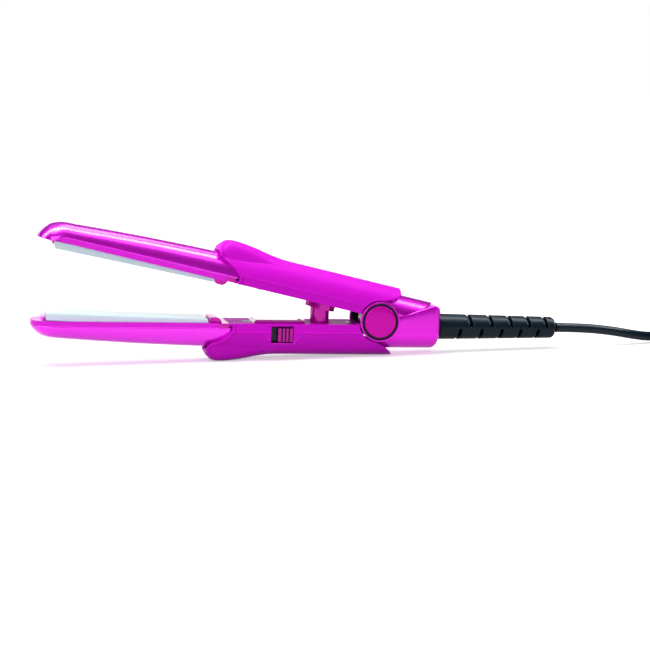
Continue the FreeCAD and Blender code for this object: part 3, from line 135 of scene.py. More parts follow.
def smooth_table(at: Array, places: Sequence[float], values: Sequence[float]) -> Array:
    """Reads a table along a curve that never overshoots its entries.

    Cubic pieces between the entries; the slope at an entry is the harmonic mean of the slopes of
    its two neighbours, and nought where they differ in sign.

    Args:
        at: where to read the table.
        places: the entries' places, rising.
        values: the entries' values.

    Returns:
        The value at each place, held constant past both ends.
    """
    px, py = np.asarray(places, float), np.asarray(values, float)
    run, rise = np.diff(px), np.diff(py)
    slope = rise / run
    left, right = slope[:-1], slope[1:]
    agree = left * right > 0
    mean = np.where(agree, 2 * left * right / np.where(agree, left + right, 1.0), 0.0)
    bend = np.concatenate([[slope[0]], mean, [slope[-1]]])
    here = np.clip(at, px[0], px[-1])
    k = np.clip(np.searchsorted(px, here, side="right") - 1, 0, len(run) - 1)
    s = (here - px[k]) / run[k]
    h = run[k]
    return (py[k] * (1 + 2 * s) * (1 - s) ** 2 + bend[k] * h * s * (1 - s) ** 2
            + py[k + 1] * s * s * (3 - 2 * s) + bend[k + 1] * h * s * s * (s - 1))


def soft_step(value: Array, low: float, high: float) -> Array:
    """Rises from 0 at low to 1 at high along a cubic."""
    s = np.clip((value - low) / (high - low), 0.0, 1.0)
    return s * s * (3 - 2 * s)


def ridge(away: Array, height: float, width: float = 0.32) -> Array:
    """A fine ridge: its height times e to the power of minus (distance over width) squared."""
    return height * np.exp(-(away / width) ** 2)


def stretches(places: Sequence[float], counts: Sequence[int]) -> Array:
    """Cuts each stretch between neighbouring places into equal steps.

    Args:
        places: the stretches' ends.
        counts: the number of steps in each stretch.

    Returns:
        The end of every step.
    """
    return np.concatenate([np.linspace(start, end, count + 1)[1:]
                           for start, end, count in zip(places, places[1:], counts)])


@dataclass(frozen=True)
class Arch:
    """Section of an arm's back: flat side, round corner and wide crown, each tangent to the next."""

    half_width: float
    side: float
    depth: Numbers
    corner: float

    def crown(self) -> tuple[Numbers, Numbers, Numbers]:
        """Works out the crown.

        Returns:
            The crown's radius, from its arc being centred on the middle plane and touching the
            corner's arc from inside, and the place across and the depth where the two arcs meet.
        """
        inset = self.half_width - self.corner
        drop = self.depth - self.side
        radius = (inset ** 2 + drop ** 2 - self.corner ** 2) / (2 * (drop - self.corner))
        reach = radius / (radius - self.corner)
        return radius, inset * reach, self.depth - radius + (self.side - self.depth + radius) * reach

    def width_at(self, depth: Array) -> Array:
        """Half width: the side, then the corner's circle, then the crown's circle.

        Args:
            depth: where to measure.

        Returns:
            The distance from the middle plane.
        """
        radius, _, joint = self.crown()
        inset = self.half_width - self.corner
        corner = inset + np.sqrt(np.clip(self.corner ** 2 - (depth - self.side) ** 2, 0, None))
        crown = np.sqrt(np.clip(radius ** 2 - (depth - self.depth + radius) ** 2, 0, None))
        return np.where(depth <= self.side, self.half_width, np.where(depth <= joint, corner, crown))

    def depth_at(self, across: Array) -> Array:
        """Depth of the back: the crown's circle, then the corner's.

        Args:
            across: distance from the middle plane, on either side.

        Returns:
            The depth.
        """
        radius, joint, _ = self.crown()
        across = np.abs(across)
        inset = self.half_width - self.corner
        crown = self.depth - radius + np.sqrt(np.clip(radius ** 2 - across ** 2, 0, None))
        corner = self.side + np.sqrt(np.clip(self.corner ** 2 - (across - inset) ** 2, 0, None))
        return np.where(across <= joint, crown, corner)


# meshes


def grid_normals(points: Array) -> Array:
    """Unit normals of a grid: the cross product of its differences along columns and rows.

    Args:
        points: the grid, with a last axis of three.

    Returns:
        A normal for each point.
    """
    normal = np.cross(np.gradient(points, axis=1), np.gradient(points, axis=0))
    return normal / np.maximum(np.linalg.norm(normal, axis=-1, keepdims=True), 1e-12)


@dataclass
class Sheet:
    """A grid of points in row-frame metres that becomes one mesh piece.

    Where it wraps, each row's end is joined to its start.  keep is a mask of the quads to keep.  A
    closed sheet encloses a volume, so its normals are made to point out of it.  Edges that turn by
    more degrees than sharp_angle stay sharp.
    """

    name: str
    points: Array
    wrap: bool = False
    flip: bool = False
    keep: Optional[Array] = None
    closed: bool = False
    sharp_angle: float = 40.0

    def faces(self) -> Array:
        """Numbers the quads' corners.

        Returns:
            One row of four corner numbers for each quad that is kept.
        """
        rows, columns, _ = self.points.shape
        index = np.arange(rows * columns).reshape(rows, columns)
        if self.wrap:
            index = np.concatenate([index, index[:, :1]], axis=1)
        quads = np.stack([index[:-1, :-1], index[1:, :-1], index[1:, 1:], index[:-1, 1:]], axis=-1)
        if self.flip:
            quads = quads[..., ::-1]
        return quads[self.keep] if self.keep is not None else quads.reshape(-1, 4)

    def build(self) -> Object:
        """Puts the grid into a mesh, merges its poles, and shades it smooth.

        Returns:
            The new object, at the origin.
        """
        mesh = bpy.data.meshes.new(self.name)
        mesh.from_pydata(self.points.reshape(-1, 3).tolist(), [], self.faces().tolist())
        edit = bmesh.new()
        edit.from_mesh(mesh)
        bmesh.ops.remove_doubles(edit, verts=edit.verts, dist=MERGE_DISTANCE)
        bmesh.ops.dissolve_degenerate(edit, edges=edit.edges, dist=DISSOLVE_DISTANCE)
        loose = [v for v in edit.verts if not v.link_faces]
        bmesh.ops.delete(edit, geom=loose, context="VERTS")
        if self.closed:
            bmesh.ops.recalc_face_normals(edit, faces=edit.faces)
        edit.to_mesh(mesh)
        edit.free()
        mesh.polygons.foreach_set("use_smooth", np.ones(len(mesh.polygons), bool))
        mesh.set_sharp_from_angle(angle=math.radians(self.sharp_angle))
        piece = bpy.data.objects.new(self.name, mesh)
        bpy.context.scene.collection.objects.link(piece)
        return piece


def add_wall(piece: Object, thickness: float) -> None:
    """Gives an outer skin its wall, inwards.

    Args:
        piece: the skin.
        thickness: the wall's, in millimetres.
    """
    wall = piece.modifiers.new("wall", "SOLIDIFY")
    wall.thickness = thickness * MM
    wall.offset = -1.0


def add_bevel(piece: Object, width: float, angle: float) -> None:
    """Rounds a piece's sharp edges.

    Args:
        piece: the piece.
        width: the rounding's, in millimetres.
        angle: the degrees that an edge has to turn by.
    """
    bevel = piece.modifiers.new("edge", "BEVEL")
    bevel.width = width * MM
    bevel.segments = 2
    bevel.limit_method = "ANGLE"
    bevel.angle_limit = math.radians(angle)
    bevel.harden_normals = False


# shader groups


def grey(level: float) -> tuple[float, float, float, float]:
    """A grey that covers fully."""
    return (level, level, level, 1.0)


class NodeBuilder:
    """Short ways to add nodes to a material or a group."""

    def __init__(self, tree: Tree) -> None:
        """Keeps the tree that the nodes go into."""
        self.tree = tree

    def add(self, kind: str, values: Optional[dict] = None, **settings: object) -> Node:
        """Adds a node.

        Args:
            kind: the node's type.
            values: socket name or number to its value, or to the output that feeds it.
            settings: the node's own properties.

        Returns:
            The node.
        """
        node = self.tree.nodes.new(kind)
        for key, value in settings.items():
            setattr(node, key, value)
        return self.feed(node, values or {})

    def feed(self, node: Node, values: dict) -> Node:
        """Fills a node's inputs.

        Args:
            node: the node.
            values: socket name or number to its value, or to the output that feeds it.

        Returns:
            The node.
        """
        for key, value in values.items():
            if isinstance(value, Socket):
                self.tree.links.new(value, node.inputs[key])
            else:
                node.inputs[key].default_value = value
        return node

    def group(self, tree: Tree, values: dict) -> Node:
        """Adds a node that stands for a group.

        Args:
            tree: the group.
            values: input name to its value, or to the output that feeds it.

        Returns:
            The node.
        """
        node = self.tree.nodes.new("ShaderNodeGroup")
        node.node_tree = tree
        return self.feed(node, values)

    def maths(self, operation: str, *inputs: object) -> Socket:
        """A Math node's output for its inputs, which are numbers or sockets."""
        node = self.add("ShaderNodeMath", dict(enumerate(inputs)), operation=operation)
        return node.outputs[0]

    def mix(self, factor: object, one: object, other: object) -> Socket:
        """A colour mixed from two."""
        node = self.add("ShaderNodeMix", {0: factor, 6: one, 7: other}, data_type="RGBA")
        return node.outputs[2]

    def noise(self, vector: Socket, scale: object, detail: float) -> Socket:
        """Noise from 0 to 1."""
        node = self.add("ShaderNodeTexNoise", {"Vector": vector, "Scale": scale, "Detail": detail})
        return node.outputs[0]

    def ramp(self, value: Socket, given: tuple[object, object],
             put: Pair = (0.0, 1.0), **settings: object) -> Socket:
        """Turns a value.

        Args:
            value: what to turn.
            given: two values, as numbers or sockets.
            put: what comes out at each of them, and beyond it.
            settings: the Map Range node's own properties.

        Returns:
            The node's output.
        """
        node = self.add("ShaderNodeMapRange", {
            "Value": value, "From Min": given[0], "From Max": given[1], "To Min": put[0],
            "To Max": put[1]}, **settings)
        return node.outputs[0]

    def glow(self, strength: object) -> Socket:
        """A white background's output."""
        return self.add("ShaderNodeBackground", {"Color": grey(1.0), "Strength": strength}).outputs[0]


def new_group(name: str, inputs: Sequence[tuple[str, str, object]],
              outputs: Sequence[tuple[str, str]]) -> tuple[NodeBuilder, Node, Node]:
    """Starts a shader node group.

    Args:
        name: the group's name.
        inputs: each input's name, socket kind and default.
        outputs: each output's name and socket kind.

    Returns:
        A builder for the group's tree, its input node and its output node.
    """
    tree = bpy.data.node_groups.new(name, "ShaderNodeTree")
    for label, kind, default in inputs:
        socket = tree.interface.new_socket(label, in_out="INPUT", socket_type=kind)
        socket.default_value = default
    for label, kind in outputs:
        tree.interface.new_socket(label, in_out="OUTPUT", socket_type=kind)
    build = NodeBuilder(tree)
    return build, build.add("NodeGroupInput"), build.add("NodeGroupOutput")


def new_skin(name: str,
             scale: tuple[str, str, object]) -> tuple[NodeBuilder, Node, Node, Socket]:
    """Starts a skin group.

    Args:
        name: the group's name.
        scale: name, socket kind and default of the input that sets the scale of its fine pattern.

    Returns:
        A builder for the group's tree, its input node, its output node and the place on the piece.
    """
    build, given, out = new_group(
        name,
        [("Colour", "NodeSocketColor", grey(1.0)), ("Deep Colour", "NodeSocketColor", grey(0.0)),
         ("Drift", "NodeSocketFloat", 0.2), scale,
         ("Roughness", "NodeSocketFloat", 0.4), ("Rubbing", "NodeSocketFloat", 0.1)],
        [("Colour", "NodeSocketColor"), ("Roughness", "NodeSocketFloat"), ("Height", "NodeSocketFloat")])
    return build, given, out, build.add("ShaderNodeTexCoord").outputs["Object"]


def end_skin(build: NodeBuilder, given: Node, out: Node,
             *patterns: Socket) -> Tree:
    """Ends a skin group.

    Args:
        build: the group's builder.
        given: its input node.
        out: its output node.
        patterns: noises from 0 to 1 that mix in the deep colour by the drift, raise and lower the
            roughness by the rubbing, and make the height.

    Returns:
        The group, which puts out the colour, the roughness and the height.
    """
    tone, rub, height = patterns
    amount = build.maths("MULTIPLY", tone, given.outputs["Drift"])
    colour = build.mix(amount, given.outputs["Colour"], given.outputs["Deep Colour"])
    spread = build.maths("MULTIPLY", build.maths("SUBTRACT", rub, 0.5), given.outputs["Rubbing"])
    rough = build.maths("ADD", given.outputs["Roughness"], spread)
    for socket, name in ((colour, "Colour"), (rough, "Roughness"), (height, "Height")):
        build.tree.links.new(socket, out.inputs[name])
    return build.tree


def moulded_skin(drift_scale: float = 22.0, patch_scale: float = 75.0) -> Tree:
    """Moulded plastic: slow drift of tone, fine grain, and rubbed patches that shine more.

    Args:
        drift_scale: scale of the tone's noise.
        patch_scale: scale of the patches' noise.

    Returns:
        The group.
    """
    build, given, out, place = new_skin("moulded_skin", ("Grain Scale", "NodeSocketFloat", 2500.0))
    return end_skin(build, given, out, build.noise(place, drift_scale, 2.0),
                    build.noise(place, patch_scale, 4.0),
                    build.noise(place, given.outputs["Grain Scale"], 2.0))


def brushed_skin(blotch_scale: float = 60.0) -> Tree:
    """Drawn or ground metal, or glaze: fine streaks along one axis and faint stains.

    Args:
        blotch_scale: scale of the stains' noise.

    Returns:
        The group.
    """
    build, given, out, place = new_skin(
        "brushed_skin", ("Streak Scale", "NodeSocketVector", (40, 2500, 2500)))
    drawn = build.add("ShaderNodeVectorMath", {0: place, 1: given.outputs["Streak Scale"]},
                      operation="MULTIPLY").outputs[0]
    streak = build.noise(drawn, 1.0, 3.0)
    return end_skin(build, given, out, build.noise(place, blotch_scale, 4.0), streak, streak)


def painted_recess_shade(shade: Colour = (0.02, 0.001, 0.026)) -> Tree:
    """Painted shade that deepens with the distance into a recess, across the iron.

    Args:
        shade: colour of the painted shade at the bottom of the recess.

    Returns:
        The group, which puts out the colour.
    """
    build, given, out = new_group(
        "painted_recess_shade",
        [("Colour", "NodeSocketColor", grey(1.0)), ("From", "NodeSocketFloat", -0.013),
         ("To", "NodeSocketFloat", -0.012)],
        [("Colour", "NodeSocketColor")])
    place = build.add("ShaderNodeTexCoord").outputs["Object"]
    across = build.add("ShaderNodeSeparateXYZ", {0: place}).outputs["Y"]
    deep = build.ramp(across, (given.outputs["From"], given.outputs["To"]),
                      interpolation_type="SMOOTHSTEP")
    # the colour darkens to the painted shade colour deeper in the recess
    colour = build.mix(deep, given.outputs["Colour"], (*shade, 1))
    build.tree.links.new(colour, out.inputs["Colour"])
    return build.tree


class SkinGroups:
    """The shader groups, each built once."""

    def __init__(self) -> None:
        """Builds the groups."""
        self.moulded = moulded_skin()
        self.brushed = brushed_skin()
        # group that paints shade deeper into a recess
        self.painted_recess_shade = painted_recess_shade()


@dataclass(frozen=True)
class Finish:
    """One finish: a shader over one of the groups."""

    name: str
    slot: str
    colour: Colour
    deep: Colour
    roughness: float
    drift: float = 0.25
    rubbing: float = 0.08
    grain: float = 2600.0
    bump: float = 0.00002
    metallic: float = 0.0
    coat: float = 0.0
    coat_roughness: float = 0.05
    specular: float = 0.5
    streaks: Optional[Triple] = None
    # shade_span: places across the iron where the painted recess shade starts and where it is full
    shade_span: Optional[Pair] = None

    def material(self, groups: SkinGroups) -> bpy.types.Material:
        """Builds the material.

        Args:
            groups: the shader groups.

        Returns:
            The material: a Principled shader fed by the finish's group.
        """
        material = bpy.data.materials.new(self.name)
        material.use_nodes = True
        tree = material.node_tree
        tree.nodes.clear()
        build = NodeBuilder(tree)
        values = {"Colour": (*self.colour, 1), "Deep Colour": (*self.deep, 1), "Drift": self.drift,
                  "Roughness": self.roughness, "Rubbing": self.rubbing}
        if self.streaks is None:
            skin = build.group(groups.moulded, {**values, "Grain Scale": self.grain})
        else:
            skin = build.group(groups.brushed, {**values, "Streak Scale": self.streaks})
        colour = skin.outputs["Colour"]
        # painted shade: the colour darkens deeper into a recess across the iron
        if self.shade_span is not None:
            start, end = self.shade_span
            shade = build.group(groups.painted_recess_shade, {"Colour": colour, "From": start, "To": end})
            colour = shade.outputs["Colour"]
        bump = build.add("ShaderNodeBump", {"Height": skin.outputs["Height"], "Strength": 1.0,
                                            "Distance": self.bump})
        shader = build.add("ShaderNodeBsdfPrincipled", {
            "Base Color": colour, "Roughness": skin.outputs["Roughness"],
            "Normal": bump.outputs[0], "Metallic": self.metallic, "Coat Weight": self.coat,
            "Coat Roughness": self.coat_roughness, "Specular IOR Level": self.specular})
        build.add("ShaderNodeOutputMaterial", {"Surface": shader.outputs[0]})
        return material


PINK: Colour = (0.80, 0.006, 0.78)
PINK_DEEP: Colour = (0.62, 0.003, 0.58)
HANDLE = Finish("handle_satin", "handle_pink", PINK, PINK_DEEP, 0.42, specular=0.08)
BARREL = Finish("barrel_pearl", "barrel_pink", (0.90, 0.012, 0.88), PINK_DEEP, 0.22, drift=0.12,
                metallic=0.6, coat=0.75, coat_roughness=0.08, specular=0.08, bump=0.0000006,
                grain=700.0)
TAIL = Finish("tail_pearl", "tail_pink", (0.80, 0.01, 0.74), PINK_DEEP, 0.24, drift=0.2,
              metallic=0.65, coat=0.3, coat_roughness=0.06, specular=0.1, bump=0.0000008,
              grain=900.0)
CAP = Finish("cap_gloss", "cap_red", (0.66, 0.002, 0.60), (0.78, 0.004, 0.34), 0.24, drift=0.7,
             metallic=0.2, coat=0.06, coat_roughness=0.04, specular=0.06, bump=0.000003)
CARRIER = Finish("carrier_gloss", "carrier_pink", (0.76, 0.006, 0.72), PINK_DEEP, 0.22, coat=0.15,
                 specular=0.15, metallic=0.4, bump=0.000005)
INNER = Finish("inner_gloss", "inner_pink", (0.62, 0.003, 0.42), (0.42, 0.002, 0.30), 0.18,
               coat=0.3, specular=0.12, metallic=0.45, bump=0.000006)
LID = Finish("lid_satin", "handle_pink", (0.66, 0.004, 0.60), PINK_DEEP, 0.4, specular=0.08)
# near-black ring in the pivot cap's groove: painted shade of the groove round the disc
PAINTED_GROOVE_SHADE = Finish("painted_groove_shade", "dark_plastic", (0.030, 0.001, 0.036), (0.012, 0.001, 0.016), 0.3,
              specular=0.15)
PLATE = Finish("plate_glaze", "plate_blue", (0.76, 0.99, 1.0), (0.66, 0.92, 0.97), 0.3, drift=0.2,
               coat=0.5, coat_roughness=0.12, bump=0.000004, streaks=(30.0, 1400.0, 1400.0),
               rubbing=0.1)
HEATER = Finish("heater_metal", "heater_metal", (0.66, 0.66, 0.67), (0.3, 0.28, 0.25), 0.38,
                metallic=1.0, streaks=(40.0, 1800.0, 1800.0), rubbing=0.2)
SILICONE = Finish("cushion_silicone", "cushion_silicone", (0.74, 0.70, 0.66), (0.55, 0.5, 0.46), 0.6)
DARK = Finish("dark_plastic", "dark_plastic", (0.045, 0.001, 0.05), (0.02, 0.001, 0.024), 0.5,
              specular=0.1)
PANEL = Finish("panel_clear", "panel_clear", (0.50, 0.002, 0.34), (0.30, 0.001, 0.22), 0.14,
               drift=0.3, rubbing=0.03, coat=0.9, coat_roughness=0.03, specular=0.2, bump=0.000003)
LAMP = Finish("lamp_red", "lamp_red", (0.75, 0.02, 0.02), (0.5, 0.01, 0.01), 0.15, coat=1.0,
              bump=0.000002)
# the knob darkens with painted shade deeper in the switch window
SLIDER = Finish("slider_satin", "slider_pink", (0.66, 0.006, 0.42), (0.5, 0.004, 0.36), 0.3,
                coat=0.1, specular=0.2, shade_span=(-0.01322, -0.0125))
SCREW = Finish("screw_steel", "screw_steel", (0.42, 0.43, 0.46), (0.2, 0.19, 0.18), 0.32,
               metallic=1.0, streaks=(900.0, 900.0, 900.0))
BOARD = Finish("board_green", "board_green", (0.02, 0.16, 0.06), (0.01, 0.09, 0.04), 0.4, coat=0.3)
FUSE = Finish("fuse_white", "fuse_white", (0.74, 0.74, 0.70), (0.6, 0.58, 0.52), 0.45)
PIN = Finish("pin_steel", "pin_steel", (0.58, 0.58, 0.6), (0.3, 0.29, 0.28), 0.25, metallic=1.0,
             streaks=(1500.0, 60.0, 1500.0))
BUSH = Finish("bush_white", "bush_white", (0.80, 0.79, 0.76), (0.65, 0.63, 0.58), 0.42)
SPRING = Finish("spring_steel", "spring_steel", (0.72, 0.73, 0.76), (0.4, 0.4, 0.4), 0.2,
                metallic=1.0, streaks=(1200.0, 300.0, 1200.0), rubbing=0.1)
RELIEF = Finish("relief_rubber", "relief_black", (0.006, 0.016, 0.026), (0.003, 0.007, 0.012), 0.34,
                drift=0.5, rubbing=0.15, grain=1800.0, bump=0.00002, specular=0.14)
# body inside the relief: black rubber, made darker and duller than the relief to paint the shade in its
# slots
SLOT_SHADE = Finish("slot_painted_shade", "relief_black", (0.001, 0.002, 0.004), (0.001, 0.001, 0.002), 0.7,
              specular=0.02)
CORD = Finish("cord_rubber", "cord_black", (0.008, 0.018, 0.034), (0.005, 0.01, 0.018), 0.34,
              drift=0.5, rubbing=0.12, grain=1800.0, bump=0.000015, specular=0.2)
TIE = Finish("tie_fabric", "tie_black", (0.02, 0.02, 0.022), (0.01, 0.01, 0.011), 0.8, rubbing=0.2,
             grain=1300.0, bump=0.00012)
BRASS = Finish("contact_brass", "contact_brass", (0.66, 0.44, 0.16), (0.35, 0.22, 0.1), 0.3,
               metallic=1.0, streaks=(1500.0, 200.0, 1500.0))
PLUG = Finish("plug_rubber", "plug_black", (0.016, 0.022, 0.03), (0.008, 0.01, 0.014), 0.5,
              grain=1500.0, bump=0.00005)
BLADE = Finish("blade_brass", "blade_brass", (0.72, 0.60, 0.34), (0.4, 0.32, 0.2), 0.25,
               metallic=1.0, streaks=(50.0, 1800.0, 1800.0), rubbing=0.12)

NODE_FINISH: dict[str, Finish] = {
    "barrel": BARREL, "plate_carrier": CARRIER, "plate": PLATE, "heater": HEATER,
    "plate_cushions": SILICONE, "front_stop": CARRIER, "neck": INNER, "handle": HANDLE,
    "inner_cover": LID, "cover_screws": SCREW, "thermal_fuse": FUSE, "switch_slider": SLIDER,
    "switch_body": DARK, "control_panel": PANEL, "pilot_lamp": LAMP, "circuit_board": BOARD,
    "board_components": DARK, "board_screws": SCREW, "guide_post": INNER, "post_collar": INNER,
    "bump_stop": INNER, "hinge_pin": PIN, "hinge_bush_near": BUSH, "hinge_bush_far": BUSH,
    "pivot_cap_near": CAP, "pivot_cap_far": CAP, "pivot_badge_near": CAP, "pivot_badge_far": CAP,
    "torsion_spring": SPRING, "hinge_tail": TAIL, "rear_housing_near": TAIL,
    "rear_housing_far": TAIL, "cord_relief": RELIEF, "swivel_core": DARK, "swivel_rings": BRASS,
    "contact_block": DARK, "power_cord": CORD, "cord_coil": CORD, "plug_lead": CORD,
    "cord_tie": TIE, "plug_body": PLUG, "plug_blades": BLADE,
}


class Wardrobe:
    """Dresses pieces: keeps each finish's material and puts it on meshes."""

    def __init__(self) -> None:
        """Builds the groups; materials come as they are asked for."""
        self.groups = SkinGroups()
        self.materials: dict[str, bpy.types.Material] = {}

    def of(self, finish: Finish) -> bpy.types.Material:
        """The finish's material, built where it isn't there yet."""
        if finish.name not in self.materials:
            self.materials[finish.name] = finish.material(self.groups)
        return self.materials[finish.name]

    def dress(self, piece: Object, finish: Finish) -> None:
        """Puts one finish all over a piece."""
        piece.data.materials.clear()
        piece.data.materials.append(self.of(finish))

    def add(self, piece: Object, finish: Finish, body: str, *nodes: str) -> Object:
        """Dresses a new piece, puts it on its body, and lets it stand for CAD nodes.

        Args:
            piece: the new piece, in place.
            finish: what it is made of.
            body: the CAD body that it rides on.
            nodes: CAD nodes that it replaces.

        Returns:
            The piece.
        """
        self.dress(piece, finish)
        if nodes:
            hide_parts(*nodes)
        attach(piece, body)
        log.info("%s: %d faces, on %s", piece.name, len(piece.data.polygons)
                 if piece.type == "MESH" else 0, body)
        return piece


# barrels


@dataclass
class Barrel:
    """Glossy shell behind a plate, with a rounded nose."""

    side: Side
    tip: float = 191.5
    half_width: float = 12.0
    rim: float = 4.6
    wall: float = 0.8
    tip_flat: float = 1.0
    crown_power: float = 2.35
    nose_rim: float = 1.3
    nose_lap: float = 0.15
    nose_fade: Pair = (7.0, 15.0)
    nose_rows: int = 26
    long_rows: int = 70
    columns: int = 73
    rear: float = 83.0
    depth_places: Table = (-175.5, -152.75, -130.0, -97.0, -83.0)
    depths: Table = (12.4, 13.85, 15.0, 16.1, 16.4)
    nose_places: Table = (0.0, 0.4, 1.0, 1.7, 3.5, 5.5, 7.6, 9.9, 13.0, 16.7)
    nose_shares: Table = (0.0, 0.14, 0.26, 0.36, 0.58, 0.75, 0.85, 0.92, 0.975, 1.0)

    def build(self, wardrobe: Wardrobe) -> None:
        """Builds the shell: arch sections whose width and depth shrink to nought at the nose.

        The plan of the nose is a quarter circle on each side of a short flat.  Its depth below the
        rim follows the table of shares.  Round the nose the rim comes down over the plate carrier.
        Across, a section is the root of (1 - the width's share to the crown's power).

        Args:
            wardrobe: dresses the piece.
        """
        arc = self.half_width - self.tip_flat
        into = np.concatenate([arc * (1 - np.cos(np.linspace(0, math.pi / 2, self.nose_rows))),
                               np.linspace(arc, self.tip - self.rear, self.long_rows)[1:]])
        x = into - self.tip
        half = self.tip_flat + np.sqrt(np.clip(arc ** 2 - (arc - np.minimum(into, arc)) ** 2, 0, None))
        over = 1 - soft_step(into, *self.nose_fade)
        rim = self.rim + (self.nose_rim - self.rim) * over
        half = half + self.nose_lap * over
        deep = smooth_table(x, self.depth_places, self.depths) - rim
        tall = deep * smooth_table(into, self.nose_places, self.nose_shares)
        across_share = np.sin(np.linspace(-math.pi / 2, math.pi / 2, self.columns))
        depth_share = np.sqrt(1 - np.abs(across_share) ** self.crown_power)
        points = ArmFrame(self.side).place(x[:, None], half[:, None] * across_share,
                                           rim[:, None] + tall[:, None] * depth_share)
        piece = Sheet(f"{self.side.prefix}_barrel_shell", points, flip=True).build()
        add_wall(piece, self.wall)
        wardrobe.add(piece, BARREL, self.side.body, f"{self.side.prefix}_barrel")


# handle covers


@dataclass
class Switch:
    """Raised flat pad on the lower handle's near side, and the window through it."""

    window: tuple[float, float, float, float] = (-61.4, -48.8, 2.9, 12.3)
    corners: Profile = (
        (-66.8, 6.7), (-61.4, 12.9), (-48.2, 12.9), (-43.0, 6.7))
    chamfer: float = 0.9
    edge_line: float = 0.3

    def distance(self, x: Array, depth: Array) -> Array:
        """How far a point lies outside the pad.

        Args:
            x: place along the arm.
            depth: place down the side.

        Returns:
            The largest of the distances from the pad's three lower edges, negative inside.
        """
        outside = np.full(np.broadcast(x, depth).shape, -np.inf)
        for (ax, ad), (bx, bd) in zip(self.corners, self.corners[1:]):
            long = math.hypot(bx - ax, bd - ad)
            away = ((x - ax) * (ad - bd) + (depth - ad) * (bx - ax)) / long
            outside = np.maximum(outside, away)
        return outside

    def pad(self, x: Array, depth: Array, across: Array, half_width: float) -> Array:
        """Raises the handle's side to the pad, with a fine ridge along the pad's edge.

        Args:
            x: place along the arm.
            depth: place down the side.
            across: the side's distance from the middle plane.
            half_width: the pad's distance, which falls by the chamfer's slope outside its edges.

        Returns:
            The larger of the two distances, and the ridge on it.
        """
        beyond = self.distance(x, depth)
        level = half_width - self.chamfer * np.maximum(beyond, 0)
        return np.maximum(across, level) + ridge(beyond, self.edge_line)

    def hole(self, x: Array, depth: Array, near: Array) -> Array:
        """Finds the quads in the window.

        Args:
            x: places of the grid's points along the arm.
            depth: their depths.
            near: whether each column is on the near side.

        Returns:
            A mask of the quads whose middle lies in the window.
        """
        first, last, high, low = self.window
        middle_x = (x[:-1, :-1] + x[1:, 1:]) / 2
        middle_depth = (depth[:-1, :-1] + depth[:-1, 1:]) / 2
        return ((middle_x > first) & (middle_x < last) & (middle_depth > high)
                & (middle_depth < low) & near[:-1] & near[1:])


